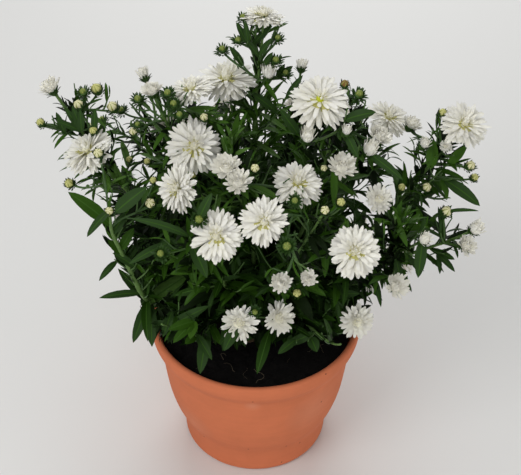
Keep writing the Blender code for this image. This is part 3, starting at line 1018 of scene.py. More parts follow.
def clear_of_pot(points):
    """Which points lie above the compost inside the pot, above its rim, or outside its wall."""
    radius = np.hypot(points[..., 0], points[..., 1])
    floor = np.where(radius < RIM_INSIDE, COMPOST_LEVEL + 2.5 * MM, ABOVE_RIM)
    return (points[..., 2] > floor) | ((radius > RIM_OUTSIDE) & (points[..., 2] > 0.09))


def well_placed(points):
    """Which leaves keep all of their points clear of the pot and inside the foliage's edges."""
    return (clear_of_pot(points) & ~past_edges(points)).all(axis=1)


def raised_from_pot(leaves, shares):
    """The leaves, with the bend of those that would dip into the pot's rim, the compost or past the
    foliage's edges cut down step by step, and those that still dip left out."""
    bend = leaves.bend.copy()
    for _ in range(3):
        dips = ~well_placed(midline_points(leaves._replace(bend=bend), shares))
        bend[dips] = bend[dips] * 0.5 - math.radians(12)
    leaves = leaves._replace(bend=bend)
    return chosen_leaves(leaves, well_placed(midline_points(leaves, shares)))


# A round column of free space: where it starts, its direction, radius and length
Column = namedtuple("Column", "place direction room back reach")
# How far the free space reaches: from a head along its axis, from one that shows towards the
# viewer, and from a leaf that shows
HEAD_AIR = 26 * MM
HEAD_VIEW = 90 * MM
LEAF_VIEW = 60 * MM


def columns_of(heads):
    """The free space of the heads: in each bloom and in front of it, along its own axis and, for a
    head that the photograph shows, towards the viewer."""
    columns = []
    for head in heads:
        if head.kind == "shoot":
            continue
        room = head.radius * (0.98 if head.kind in OPEN_KINDS else 1.1) + 0.5 * MM
        columns.append(Column(head.place, head.facing, room, 0.15 * head.radius, HEAD_AIR))
        if head.shown:
            view = unit(CAMERA_PLACE - head.place)
            columns.append(Column(head.place, view, room, 0.15 * head.radius, HEAD_VIEW))
    return columns


def clear_of_columns(points, columns):
    """Which leaves stay out of the columns with all of their points (leaf, point, xyz)."""
    clear = np.ones(len(points), bool)
    for column in columns:
        way = points - column.place
        along = way @ column.direction
        off = np.linalg.norm(way - along[..., None] * column.direction, axis=-1)
        inside = (off < column.room) & (along > -column.back) & (along < column.reach)
        clear &= ~inside.any(axis=1)
    return clear


# How near a shown leaf's foot has to pass wood and may be from it at most, and how much nearer to
# the camera than the foot its tip is
WOOD_NEAR = 4 * MM
WOOD_FAR = 12 * MM
TIP_FORWARD = 6 * MM
SHOWN_FOLD = 0.2


def shown_leaves(twigs):
    """The leaves that stand out in the photograph. Each starts on the foremost wood that its foot's
    line of sight passes near, and ends on its tip's line of sight, as far off as its foot. One
    whose foot shows far from any wood isn't set."""
    wood = np.concatenate([twig.points[1:] for twig in twigs])
    owners = [twig.mass for twig in twigs for _ in twig.points[1:]]
    rows = []
    for leaf in (ShownLeaf(*row) for row in SHOWN_LEAVES):
        ray = sight_line(leaf.across, leaf.down)
        depth, off = beside_ray(wood, ray)
        if off.min() > WOOD_FAR:
            continue
        near = np.maximum(off - WOOD_NEAR, 0.0)
        best = int(np.argmin(6.0 * near + 0.5 * off + depth))
        base = wood[best]
        away = np.linalg.norm(base - CAMERA_PLACE) - TIP_FORWARD
        chord = CAMERA_PLACE + away * sight_line(leaf.tip_across, leaf.tip_down) - base
        view = unit(CAMERA_PLACE - base)
        up = square_to(view + 0.5 * UP, unit(chord))
        half = math.radians(leaf.bend) / 2
        ahead = math.cos(half) * unit(chord) + math.sin(half) * up
        over = math.cos(half) * up - math.sin(half) * unit(chord)
        length = np.linalg.norm(chord) / np.sinc(half / np.pi)
        width = leaf.width * MM / 2
        shape = (base, ahead, over, length, width, 2 * half, SHOWN_FOLD, 0.0)
        rows.append((*shape, leaf.shade, 0, owners[best]))
    return Leaves(*[np.array(column) for column in zip(*rows, strict=True)])


# How far under the masses' surface the leaves of painted shade start, which take the darkest green, and
# their share there
PAINTED_SHADE_DEPTH = -7 * MM
PAINTED_SHADE_SHARE = 0.88
# Hollows that the photograph shows between the sprays, as the pixel of the middle and the radius
# in pixels, and how deep they go
HOLLOWS = (
    (250, 264, 15), (305, 236, 17), (290, 228, 13), (274, 252, 12), (268, 184, 9), (232, 292, 10),
)
HOLLOW_DEPTH = -30 * MM
LEAF_SHARES = np.array((0.35, 0.6, 0.8, 1.0))
# How the leaves thin out by the place of their tips: places or heights, and the values there
THINNING = {
    "outwards": ((-16 * MM, 4 * MM), (0.0, 0.46)),
    "sides": ((0.07, 0.12), (1.0, 1.5)),
    "top": ((0.22, 0.29), (0.0, 1.0)),
    "level": ((0.20, 0.25), (0.0, 1.0)),
    "arch": ((0.10, 0.12), (0.0, 1.0)),
    "under_arch": ((0.175, 0.205), (1.0, 0.0)),
    "beside": ((0.07, 0.12), (0.0, 1.0)),
}
CORE_RADIUS = 0.045
# How far a leaf and a bract may reach out of the masses, and how far forward a hollow starts
LEAF_OUT = 5 * MM
BRACT_OUT = 20 * MM
HOLLOW_FRONT = 0.03


def show_in(points, rounds):
    """Which leaves show in one of the rounds (across, down, radius in pixels) with any of their
    points (leaf, point, xyz)."""
    across, down = pixels_of(points)
    inside = [np.hypot(across - x, down - y) < radius for x, y, radius in rounds]
    return np.any(inside, axis=0).any(axis=1)


def thinned_share(tips, reach):
    """The share of the leaves to leave out at each tip. It grows as the tip reaches out of the
    masses, and towards the sides, but only high up, and lower down beside the crown."""
    central = in_heart(tips) | (np.hypot(tips[:, 0], tips[:, 1]) < CORE_RADIUS)
    share = np.where(central, 0.0, np.interp(reach, *THINNING["outwards"]))
    aside, height = np.abs(tips[:, 0]), tips[:, 2]
    share *= np.interp(aside, *THINNING["sides"])
    arching = np.interp(tips[:, 0], *THINNING["arch"])
    arching *= np.interp(height, *THINNING["under_arch"])
    level = np.maximum(np.interp(height, *THINNING["level"]), arching)
    beside = np.interp(aside, *THINNING["beside"])
    return share * np.maximum(np.interp(height, *THINNING["top"]), beside * level)


@functools.cache
def all_leaves(seed):
    """Every leaf and bract of the plant that is clear of the pot, of the blooms and of the space
    outside the crown. Leaves are thinned towards the outside of the upper crown, where the sky
    shows between the stalks."""
    masses, heads, twigs = plant(seed)
    rng = np.random.default_rng(seed + 1)
    chosen = shown_leaves(twigs)
    groups = []
    for twig in twigs:
        bare = twig.head is not None and twig.head.kind == "shoot"
        groups.append(leaves_on(twig, FOLIAGE["tip" if bare else twig.kind], rng, None))
        if twig.head is not None:
            groups.append(leaves_on(twig, BRACTS, rng, 2))
    leaves = raised_from_pot(joined_leaves(groups), LEAF_SHARES)
    points = midline_points(leaves, LEAF_SHARES)
    columns = columns_of(heads)
    lines = midline_points(chosen, LEAF_SHARES[:-1])
    for line, half in zip(lines, chosen.half_width, strict=True):
        for point in line:
            columns.append(Column(point, unit(CAMERA_PLACE - point), 0.8 * half, -MM, LEAF_VIEW))
    bough = next(twig for twig in twigs if twig.kind == "leader" and twig.mass == EDGE_BOUGH)
    for point in along_line(bough.points, np.linspace(0.2, 0.95, 24))[0]:
        columns.append(Column(point, unit(CAMERA_PLACE - point), 2 * MM, -MM, LEAF_VIEW))
    keep = clear_of_columns(points, columns)
    tree, _ = masses_tree(masses)
    tips = points[:, -1]
    reach = np.array([outside_by(tree, tip) for tip in tips])
    bract = leaves.size == 2
    keep &= (reach < np.where(bract, BRACT_OUT, LEAF_OUT)) | in_heart(tips)
    keep &= (rng.random(len(tips)) > thinned_share(tips, reach)) | bract
    keep &= ~show_in(points, SKY_OPENINGS)
    before = (reach > HOLLOW_DEPTH) & (tips[:, 1] < HOLLOW_FRONT)
    keep &= ~(show_in(points[:, -2:], HOLLOWS) & before)
    # Painted shade: most leaves deep in the crown get the darkest green
    in_painted_shade = (reach < PAINTED_SHADE_DEPTH) & ~bract & (rng.random(len(tips)) < PAINTED_SHADE_SHARE)
    leaves = leaves._replace(shade=np.where(in_painted_shade, PAINTED_SHADE_LEAF, leaves.shade))
    return joined_leaves([chosen, chosen_leaves(leaves, keep)])


# Materials


def add_node(tree, kind, links=None, values=None, stops=(), **settings):
    """A shader node of the kind with its own settings, links to its inputs and their values, and,
    for a colour ramp, its stops as (place, linear colour)."""
    node = tree.nodes.new("ShaderNode" + kind)
    for name, value in settings.items():
        setattr(node, name, value)
    for name, value in (values or {}).items():
        node.inputs[name].default_value = value
    for name, socket in (links or {}).items():
        tree.links.new(socket, node.inputs[name])
    while stops and len(node.color_ramp.elements) < len(stops):
        node.color_ramp.elements.new(0.5)
    for k, (at, colour) in enumerate(stops):
        node.color_ramp.elements[k].position = at
        node.color_ramp.elements[k].color = (*colour, 1.0)
    return node


def per_metre(millimetres):
    """The scale of a pattern whose features are as wide as the millimetres given."""
    return 1000.0 / millimetres


def new_finish(name, values):
    """A material with values for its shader's sockets, and its tree, shader and Object coordinates."""
    material = bpy.data.materials.new(name)
    material.use_nodes = True
    tree = material.node_tree
    shader = tree.nodes["Principled BSDF"]
    for socket, value in {"IOR": COMMON_IOR, **values}.items():
        shader.inputs[socket].default_value = value
    return material, tree, shader, add_node(tree, "TexCoord").outputs["Object"]


def plain_finish(name, colour, gloss, patch=3.0, specular=0.5, more=None):
    """A material of one plain colour whose gloss changes from the low to the high roughness in
    soft patches, as wide as the millimetres given, and with more values for its sockets."""
    values = {"Base Color": (*colour, 1.0), "Roughness": sum(gloss) / 2, "Specular IOR Level": specular}
    material, tree, shader, place = new_finish(name, {**values, **(more or {})})
    pattern = {"Scale": per_metre(patch), "Detail": 3.0}
    noise = add_node(tree, "TexNoise", {"Vector": place}, pattern)
    span = {"From Min": 0.3, "From Max": 0.7, "To Min": gloss[0], "To Max": gloss[1]}
    spread = add_node(tree, "MapRange", {"Value": noise.outputs["Fac"]}, span)
    tree.links.new(spread.outputs["Result"], shader.inputs["Roughness"])
    return material


def plain_finishes(codes, gloss, patch=3.0, specular=0.5):
    """Materials of one plain colour each, from their names and hex colours."""
    return [plain_finish(name, linear(code), gloss, patch, specular) for name, code in codes.items()]


# Place on the pot's wall, width and strength of the salt patches
SALT_PATCHES = (
    ((-0.002, -0.0750, 0.0930), 0.007, 0.18),
    ((0.042, -0.0540, 0.0700), 0.026, 0.12),
    ((-0.048, -0.0480, 0.0450), 0.020, 0.12),
)
# Where the clay's clouds turn, and the shares of its colour there
CLAY_SHADES = ((0.34, 0.95), (0.52, 1.0), (0.74, 1.05))


def fired_clay(settings):
    """Fired clay, thrown and unglazed: a matt orange-brown with paler dust, faint darker bands
    from the wheel and fine grit."""
    values = {"Roughness": 0.86, "Specular IOR Level": 0.30}
    material, tree, shader, place = new_finish("fired_clay", values)
    pattern = {"Scale": per_metre(22.0), "Detail": 6.0, "Roughness": 0.6}
    cloud = add_node(tree, "TexNoise", {"Vector": place}, pattern)
    shades = [(at, [share * c for c in settings.clay_colour]) for at, share in CLAY_SHADES]
    ramp = add_node(tree, "ValToRGB", {"Fac": cloud.outputs["Fac"]}, stops=shades)
    # The wheel's bands: a noise that is drawn out along the ground
    flat = add_node(tree, "Mapping", {"Vector": place}, {"Scale": (0.06, 0.06, 1.0)})
    pattern = {"Scale": per_metre(2.6), "Detail": 2.0}
    bands = add_node(tree, "TexNoise", {"Vector": flat.outputs["Vector"]}, pattern)
    span = {"From Min": 0.35, "From Max": 0.65, "To Min": 0.0, "To Max": 0.045}
    depth = add_node(tree, "MapRange", {"Value": bands.outputs["Fac"]}, span)
    layers = [(depth.outputs["Result"], "#8f5238")]
    # Salts that dried out on the clay: pale round patches, faded to their edge
    for spot, width, strength in SALT_PATCHES:
        frame_of = {"Location": spot, "Scale": (width, width, width)}
        near = add_node(tree, "Mapping", {"Vector": place}, frame_of, vector_type="TEXTURE")
        middle = {"Vector": near.outputs["Vector"]}
        fall = add_node(tree, "TexGradient", middle, gradient_type="SPHERICAL")
        full = {0: fall.outputs["Fac"]}
        faint = add_node(tree, "Math", full, {1: strength}, operation="MULTIPLY")
        layers.append((faint.outputs["Value"], "#e2b9a0"))
    # Dark grit: few specks, each in a cell of its own, and only in the cells of a chance colour
    pattern = {"Scale": per_metre(13.0)}
    cells = add_node(tree, "TexVoronoi", {"Vector": place}, pattern)
    chance = add_node(tree, "SeparateColor", {"Color": cells.outputs["Color"]})
    span = {"From Min": 0.045, "From Max": 0.065, "To Min": 0.8, "To Max": 0.0}
    inside = add_node(tree, "MapRange", {"Value": cells.outputs["Distance"]}, span)
    drawn = {0: chance.outputs["Red"]}
    picked = add_node(tree, "Math", drawn, {1: 0.6}, operation="GREATER_THAN")
    both = {0: inside.outputs["Result"], 1: picked.outputs["Value"]}
    speck = add_node(tree, "Math", both, operation="MULTIPLY")
    layers.append((speck.outputs["Value"], "#5a3020"))
    colour = ramp.outputs["Color"]
    for share, code in layers:
        sources, other = {"Factor": share, "A": colour}, {"B": (*linear(code), 1.0)}
        mix = add_node(tree, "Mix", sources, other, data_type="RGBA")
        colour = mix.outputs["Result"]
    tree.links.new(colour, shader.inputs["Base Color"])
    pattern = {"Scale": per_metre(0.7), "Detail": 2.0}
    grit = add_node(tree, "TexNoise", {"Vector": place}, pattern)
    relief = {"Strength": 0.22, "Distance": 0.25 * MM}
    bump = add_node(tree, "Bump", {"Height": grit.outputs["Fac"]}, relief)
    tree.links.new(bump.outputs["Normal"], shader.inputs["Normal"])
    return material


def mottled_finish(name, shades, pattern, relief, roughness, specular, stretch=1.0):
    """Peat, bark or rind: colours along a noise that is drawn out up the wood by the stretch, and
    the same noise as relief. The shades give a hex colour at places of the noise."""
    values = {"Roughness": roughness, "Specular IOR Level": specular}
    material, tree, shader, place = new_finish(name, values)
    drawn = add_node(tree, "Mapping", {"Vector": place}, {"Scale": (1.0, 1.0, 1.0 / stretch)})
    noise = add_node(tree, "TexNoise", {"Vector": drawn.outputs["Vector"]}, pattern)
    stops = [(at, linear(code)) for at, code in shades.items()]
    ramp = add_node(tree, "ValToRGB", {"Fac": noise.outputs["Fac"]}, stops=stops)
    tree.links.new(ramp.outputs["Color"], shader.inputs["Base Color"])
    bump = add_node(tree, "Bump", {"Height": noise.outputs["Fac"]}, relief)
    tree.links.new(bump.outputs["Normal"], shader.inputs["Normal"])
    return material


def peat():
    """Moist peat compost: nearly black brown crumbs that barely shine."""
    shades = {0.35: "#030202", 0.55: "#080605", 0.78: "#17110d"}
    pattern = {"Scale": per_metre(2.4), "Detail": 7.0, "Roughness": 0.7}
    relief = {"Strength": 0.8, "Distance": 0.8 * MM}
    return mottled_finish("moist_peat", shades, pattern, relief, 0.92, 0.25)


def streaked_finish(name, codes, stretch, width, roughness):
    """Bark or rind: upright streaks as wide as the millimetres given, and as fine furrows."""
    shades = dict(zip((0.30, 0.55, 0.80), codes, strict=True))
    pattern = {"Scale": per_metre(width), "Detail": 5.0, "Roughness": 0.6}
    relief = {"Strength": 0.6, "Distance": 0.3 * MM}
    return mottled_finish(name, shades, pattern, relief, roughness, 0.35, stretch)


# The add-on


COLOUR = {"subtype": "COLOR", "min": 0.0, "max": 1.0}


class AsterSettings(bpy.types.PropertyGroup):
    """The sizes and colours that a user would change"""

    seed: IntProperty(name="Seed", description="Seed of the branching rule", default=17, min=0)
    clay_colour: FloatVectorProperty(
        name="Clay", description="Colour of the pot's clay", default=linear("#d07650"), **COLOUR
    )
    petal_colour: FloatVectorProperty(
        name="Petals", description="Colour of the open petals", default=linear("#f6f4ea"), **COLOUR
    )
    relief: FloatProperty(
        name="Wheel marks",
        description="Depth of the rings that the wheel left in the pot",
        default=0.02 * MM,
        min=0.0,
        max=0.5 * MM,
        unit="LENGTH",
        precision=5,
    )
    floor_colour: FloatVectorProperty(
        name="Floor", description="Colour of the studio floor", default=linear("#e2e2e0"), **COLOUR
    )
    light: FloatProperty(
        name="Light", description="Power of the studio lights, in watts", default=8.8, min=0.0
    )


def settings_of(context):
    """The aster's settings in the scene."""
    return context.scene.aster_settings


FLOOR_HALF = 9.0
WORLD_STRENGTH = 0.325
LIGHT_AIM = Vector((0.0, 0.0, 0.18))
# Name, place, width and share of the power
SOFTBOXES = (
    ("softbox_left", (-0.80, -0.75, 1.00), 0.7, 0.80),
    ("softbox_high", (-0.10, -1.00, 1.05), 0.6, 0.10),
    ("softbox_right", (1.00, -0.55, 0.90), 0.8, 0.12),
    ("softbox_front", (0.50, -1.20, 0.20), 0.5, 0.36),
    ("softbox_top", (0.0, 0.25, 1.5), 0.9, 0.30),
    ("softbox_back", (0.10, 1.45, 1.2), 1.2, 1.60),
)


def add_floor(settings, scene):
    """A plain square of matt card under the pot."""
    mesh = bpy.data.meshes.new("floor")
    corners = [(x * FLOOR_HALF, y * FLOOR_HALF, 0) for x, y in ((-1, -1), (1, -1), (1, 1), (-1, 1))]
    mesh.from_pydata(corners, [], [(0, 1, 2, 3)])
    floor = bpy.data.objects.new("floor", mesh)
    scene.collection.objects.link(floor)
    colour = tuple(settings.floor_colour)
    mesh.materials.append(plain_finish("matt_card", colour, (0.85, 0.95), 40.0, specular=0.2))


def add_lights(settings, scene):
    """An even pale sky, and the softboxes, each turned to face the crown."""
    world = bpy.data.worlds.new("studio")
    world.use_nodes = True
    sky = world.node_tree.nodes["Background"].inputs
    sky["Color"].default_value = (1.0, 1.0, 1.0, 1.0)
    sky["Strength"].default_value = WORLD_STRENGTH
    scene.world = world
    for name, place, width, share in SOFTBOXES:
        light = bpy.data.lights.new(name, "AREA")
        light.shape = "SQUARE"
        light.size = width
        light.energy = settings.light * share
        lamp = bpy.data.objects.new(name, light)
        lamp.location = place
        aim = LIGHT_AIM - Vector(place)
        lamp.rotation_euler = aim.to_track_quat("-Z", "Y").to_euler()
        scene.collection.objects.link(lamp)


class ASTER_OT_stage(bpy.types.Operator):
    """Set the camera of the photograph, the pale floor and the soft studio light"""

    bl_idname = "aster.stage"
    bl_label = "Stage"

    def execute(self, context):
        settings = settings_of(context)
        scene = context.scene
        camera = bpy.data.cameras.new("photo_camera")
        camera.sensor_fit = "HORIZONTAL"
        camera.sensor_width = SENSOR_WIDTH
        camera.lens = SENSOR_WIDTH * FOCAL_PIXELS / PHOTO_WIDTH
        camera.clip_start = 0.01
        holder = bpy.data.objects.new("photo_camera", camera)
        right, upward, forward = camera_axes()
        columns = [(*axis, 0.0) for axis in (right, upward, -forward)] + [(*CAMERA_PLACE, 1.0)]
        holder.matrix_world = Matrix(columns).transposed()
        scene.collection.objects.link(holder)
        scene.camera = holder
        add_floor(settings, scene)
        add_lights(settings, scene)
        scene.view_settings.view_transform = "Standard"
        return {"FINISHED"}


def pot_profile():
    """The pot's section as arrays of radius and height, from the middle of the underside round the
    foot, up the outer side, over the rounded lip, and down the inner wall to the middle of the
    floor."""
    stations, radii = np.array(POT_OUTLINE).T
    lip_height = POT_HEIGHT - LIP_EDGE

    def outside(heights):
        return curve_through(stations, radii, np.clip(heights, stations[0], stations[-1]))

    heights = np.linspace(FOOT_EDGE, lip_height, POT_STATIONS)
    outer = outside(heights)
    foot_angle = np.radians(np.linspace(-90, 0, FOOT_STATIONS + 1))[:-1]
    foot_middle = outer[0] - FOOT_EDGE
    foot = (foot_middle + FOOT_EDGE * np.cos(foot_angle), FOOT_EDGE + FOOT_EDGE * np.sin(foot_angle))
    under = (np.linspace(POT_AXIS, foot_middle, UNDER_STATIONS + 1)[:-1], np.zeros(UNDER_STATIONS))
    lip_angle = np.radians(np.linspace(0, 180, 17))[1:]
    lip_middle = outer[-1] - LIP_EDGE
    lip = (lip_middle + LIP_EDGE * np.cos(lip_angle), lip_height + LIP_EDGE * np.sin(lip_angle))
    down = np.linspace(lip_height, FLOOR_THICKNESS + FOOT_EDGE, 36)[1:]
    near_lip = np.clip((down - LIP_FOOT) / (lip_height - LIP_FOOT), 0, 1)
    inner = (outside(down) - (WALL + (2 * LIP_EDGE - WALL) * near_lip), down)
    floor = (np.linspace(inner[0][-1] - FOOT_EDGE, POT_AXIS, 10), np.full(10, FLOOR_THICKNESS))
    parts = [under, foot, (outer, heights), lip, inner, floor]
    return np.concatenate([p[0] for p in parts]), np.concatenate([p[1] for p in parts])


class ASTER_OT_pot(bpy.types.Operator):
    """Turn the clay pot, with the rings that the wheel left in it"""

    bl_idname = "aster.pot"
    bl_label = "Pot"

    def execute(self, context):
        settings = settings_of(context)
        radii, heights = pot_profile()
        angle = round_angles(POT_TURNS)
        rng = np.random.default_rng(settings.seed + 2)
        marks = np.zeros((len(radii), POT_TURNS))
        # The wheel's rings: waves up the wall of a few spacings, each with a slow climb round it
        for spacing in WHEEL_RINGS:
            climb = rng.integers(-1, 2)
            phase = 2 * np.pi * heights[:, None] / spacing + climb * angle + rng.uniform(0, 2 * np.pi)
            marks += np.sin(phase) * (0.7 + 0.3 * np.sin(2 * angle + rng.uniform(0, 6)))
        outer = np.clip((heights - 0.006) / 0.006, 0, 1)[:, None]
        groove = -0.22 * MM * np.exp(-(((heights - LIP_LINE) / (0.6 * MM)) ** 2))[:, None]
        sway = 0.25 * MM * np.sin(angle + 0.8) + 0.18 * MM * np.sin(3 * angle)
        side = (np.arange(len(radii)) < UNDER_STATIONS + FOOT_STATIONS + POT_STATIONS + 1)[:, None]
        swell = outer * (0.5 * settings.relief * marks + side * groove + sway)
        clay = fired_clay(settings)
        turned_piece("clay_pot", radii, heights, POT_TURNS, clay, "clay", "pot", swell)
        return {"FINISHED"}


# Pixels that the curled fibre passes on the compost
CURLED_FIBRE = ((254, 369), (257, 372), (261, 373), (264, 376), (262, 379), (258, 380), (256, 383))


def on_compost(across, down):
    """The place on the compost that shows at a pixel of the photograph."""
    ray = sight_line(across, down)
    away = (COMPOST_LEVEL + 1.8 * MM - CAMERA_PLACE[2]) / ray[2]
    return CAMERA_PLACE + away * ray


def crumbs(x, y, rng):
    """Height of the crumbs: the largest of many seeded domes, each a lump of its own width,
    over a slow swell, so lumps overlap like loose crumbs."""
    lift = SWELL * np.sin(70 * x + 1.0) * np.cos(60 * y)
    domes = np.zeros_like(x)
    for _ in range(LUMPS):
        radius = rng.uniform(1.2, 4.2) * MM
        distance, turn = LUMP_REACH * math.sqrt(rng.random()), rng.uniform(0, 2 * np.pi)
        off = np.hypot(x - distance * math.cos(turn), y - distance * math.sin(turn))
        dome = np.sqrt(np.clip(1.0 - (off / radius) ** 2, 0, 1)) * radius * rng.uniform(0.25, 0.75)
        domes = np.maximum(domes, dome)
    return lift + domes - SWELL


def add_fibres(rng):
    """Pale root fibres: thin tubes along seeded, wandering lines on the compost."""
    count, stations = FIBRES, FIBRE_STATIONS
    turn = rng.uniform(0, 2 * np.pi, count)
    distance = FIBRE_START * np.sqrt(rng.uniform(0.25, 1.0, count))
    start = np.stack([distance * np.cos(turn), distance * np.sin(turn)], -1)
    heading = rng.uniform(0, 2 * np.pi, count)[:, None]
    heading = heading + np.cumsum(rng.normal(0, 0.30, (count, stations)), axis=1)
    step = (rng.uniform(4, 17, count) * MM / stations)[:, None, None]
    ways = np.stack([np.cos(heading), np.sin(heading)], -1)
    flat = start[:, None] + np.cumsum(step * ways, axis=1)
    radius = np.hypot(flat[..., 0], flat[..., 1])
    flat = flat * np.minimum(1.0, FIBRE_REACH / radius)[..., None]
    along = np.linspace(0, np.pi, stations)
    height = COMPOST_LEVEL + 1.5 * MM + rng.uniform(0.5, 2.5, count)[:, None] * MM * np.sin(along)
    lines = np.concatenate([flat, height[..., None]], -1)
    radii = np.linspace(0.10, 0.06, stations)[None] * MM * rng.uniform(0.7, 1.3, count)[:, None]
    curl = smooth_line(np.array([on_compost(*pixel) for pixel in CURLED_FIBRE]), 0.5 * MM)
    shares = np.linspace(0, 1, CURLED_FIBRES * stations)
    curl = along_line(curl, shares)[0].reshape(CURLED_FIBRES, stations, 3)
    lines = np.concatenate([lines, curl])
    radii = np.concatenate([radii, np.full((CURLED_FIBRES, stations), 0.14 * MM)])
    fibre = plain_finish("dry_root_fibre", linear("#6f6350"), (0.7, 0.9))
    tube_piece("root_fibres", lines, radii, FIBRE_SIDES, 0, [fibre], "compost")


class ASTER_OT_compost(bpy.types.Operator):
    """Fill the pot with crumbly compost, and lay a few pale root fibres on it"""

    bl_idname = "aster.compost"
    bl_label = "Compost"

    def execute(self, context):
        rng = np.random.default_rng(settings_of(context).seed + 3)
        under = np.array(UNDERSIDE)
        inward = np.linspace(COMPOST_EDGE, COMPOST_AXIS, COMPOST_RINGS)
        radii = np.concatenate([under[:, 0], inward])
        heights = np.concatenate([under[:, 1], np.full(COMPOST_RINGS, COMPOST_LEVEL)])
        angle = round_angles(COMPOST_TURNS)
        x, y = radii[:, None] * np.cos(angle), radii[:, None] * np.sin(angle)
        lift = crumbs(x, y, rng)
        lift[: len(under) + 1] = 0.0
        form = (radii, heights, COMPOST_TURNS)
        turned_piece("peat_bed", *form, peat(), "compost", "compost", lift=lift)
        add_fibres(rng)
        return {"FINISHED"}


class ASTER_OT_stem(bpy.types.Operator):
    """Make the short woody stem: bark with upright furrows, flared at the foot"""

    bl_idname = "aster.stem"
    bl_label = "Stem"

    def execute(self, context):
        rng = np.random.default_rng(settings_of(context).seed + 4)
        foot = COMPOST_LEVEL + 0.3 * MM
        top = STEM_HEAD[2] + HEAD_RADIUS
        heights = np.linspace(foot, top - 0.2 * MM, STEM_STATIONS)
        spread = np.exp(-(heights - foot) / FLARE_FADE)
        flare = NECK_RADIUS + (FLARE_RADIUS - NECK_RADIUS) * spread
        level = np.clip((heights - STEM_HEAD[2]) / HEAD_RADIUS, -1, 1)
        ball = HEAD_RADIUS * np.sqrt(np.clip(1 - level**2, 0, 1))
        radii = np.where(level > -0.55, np.maximum(ball, 0.0006), flare)
        angle = round_angles(STEM_TURNS)
        furrows = np.zeros((STEM_STATIONS, STEM_TURNS))
        for waves in FURROWS:
            lean = rng.uniform(-60, 60) * heights[:, None]
            furrows += np.sin(waves * angle + lean + rng.uniform(0, 6)) / math.sqrt(waves)
        shallow = np.clip(radii / HEAD_RADIUS, 0, 1)[:, None]
        swell = -FURROW_DEPTH * np.abs(furrows) * shallow
        bark = streaked_finish("woody_bark", ("#2b2118", "#5b4a35", "#8a7655"), 6.0, 1.2, 0.85)
        turned_piece("stem_bark", radii, heights, STEM_TURNS, bark, "stem", "stem_base", swell)
        return {"FINISHED"}


class ASTER_OT_limbs(bpy.types.Operator):
    """Clothe each limb in ridged rind, and run it on to its leading head"""

    bl_idname = "aster.limbs"
    bl_label = "Limbs"

    def execute(self, context):
        masses, _, twigs = plant(settings_of(context).seed)
        rng = np.random.default_rng(settings_of(context).seed + 5)
        rind = streaked_finish("green_rind", ("#46652c", "#5f7d40", "#7a9056"), 8.0, 0.8, 0.60)
        leaders = {twig.mass: twig for twig in twigs if twig.kind == "leader"}
        for mass in masses:
            leader = leaders[mass.name]
            line = smooth_line(np.concatenate([mass.line, leader.points[2:]]), LIMB_STEP)
            own = line_length(mass.line) / line_length(line)
            share = np.linspace(0, 1, len(line))
            further = np.clip((share - own) / (1.0 - own), 0, 1)
            radii = np.interp(share, (0, own), (LIMB_ROOT_RADIUS, LIMB_TIP_RADIUS))
            radii = radii + (leader.radii[-1] - LIMB_TIP_RADIUS) * (1 - (1 - further) ** 2)
            if mass.name == EDGE_BOUGH:
                radii = np.interp(share, *EDGE_TAPER)
            angle = round_angles(LIMB_SIDES)
            relief = 0.05 * np.cos(6 * angle) + np.zeros((len(line), 1))
            # A leaf scar swells one side of the rind at each step of the golden angle
            for k in range(int(line_length(line) / SCAR_STEP)):
                at = np.exp(-(((np.arange(len(line)) - SCAR_RINGS * k) / 0.9) ** 2))[:, None]
                relief = relief + 0.22 * at * np.exp(3 * (np.cos(angle - k * GOLDEN_ANGLE) - 1))
            relief = relief + 0.03 * rng.normal(size=relief.shape)
            form = ("rind_" + mass.name, line[None], radii[None], LIMB_SIDES)
            tube_piece(*form, 0, [rind], "shoot", ["limb_" + mass.name], relief[None])
        return {"FINISHED"}


TWIG_COLOURS = {"twig_green_1": "#43622b", "twig_green_2": "#385626", "twig_green_3": "#4f6c35"}
TWIG_SIDES = {"flowering": 7, "leafy": 5}


class ASTER_OT_twigs(bpy.types.Operator):
    """Grow the side twigs and leafy shoots"""

    bl_idname = "aster.twigs"
    bl_label = "Twigs"

    def execute(self, context):
        _, _, twigs = plant(settings_of(context).seed)
        finishes = plain_finishes(TWIG_COLOURS, (0.5, 0.68))
        for kind, sides in TWIG_SIDES.items():
            group = [twig for twig in twigs if twig.kind == kind]
            lines = np.stack([twig.points for twig in group])
            radii = np.stack([twig.radii for twig in group])
            relief = 0.06 * np.cos(3 * round_angles(sides)) + np.zeros((1, lines.shape[1], 1))
            shades = np.array([twig.shade % len(finishes) for twig in group])
            name = f"{kind}_twigs"
            tube_piece(name, lines, radii, sides, shades, finishes, "shoot", relief=relief)
        return {"FINISHED"}


# Names of the groups of masses that share their pieces, and how a group's names start
LEAF_GROUPS = {
    "skirt_front": ("skirt_front", "skirt_left", "skirt_right"),
    "skirt_back": ("skirt_back",),
    "ring_left": ("left", "front_left", "back_left"),
    "ring_right": ("right", "front_right", "back_right"),
    "dome": ("dome", "top"),
}


def group_of(name):
    """The group whose longest start fits a mass's name."""
    fits = [(len(s), group) for group, starts in LEAF_GROUPS.items() for s in starts if name.startswith(s)]
    return max(fits)[1]


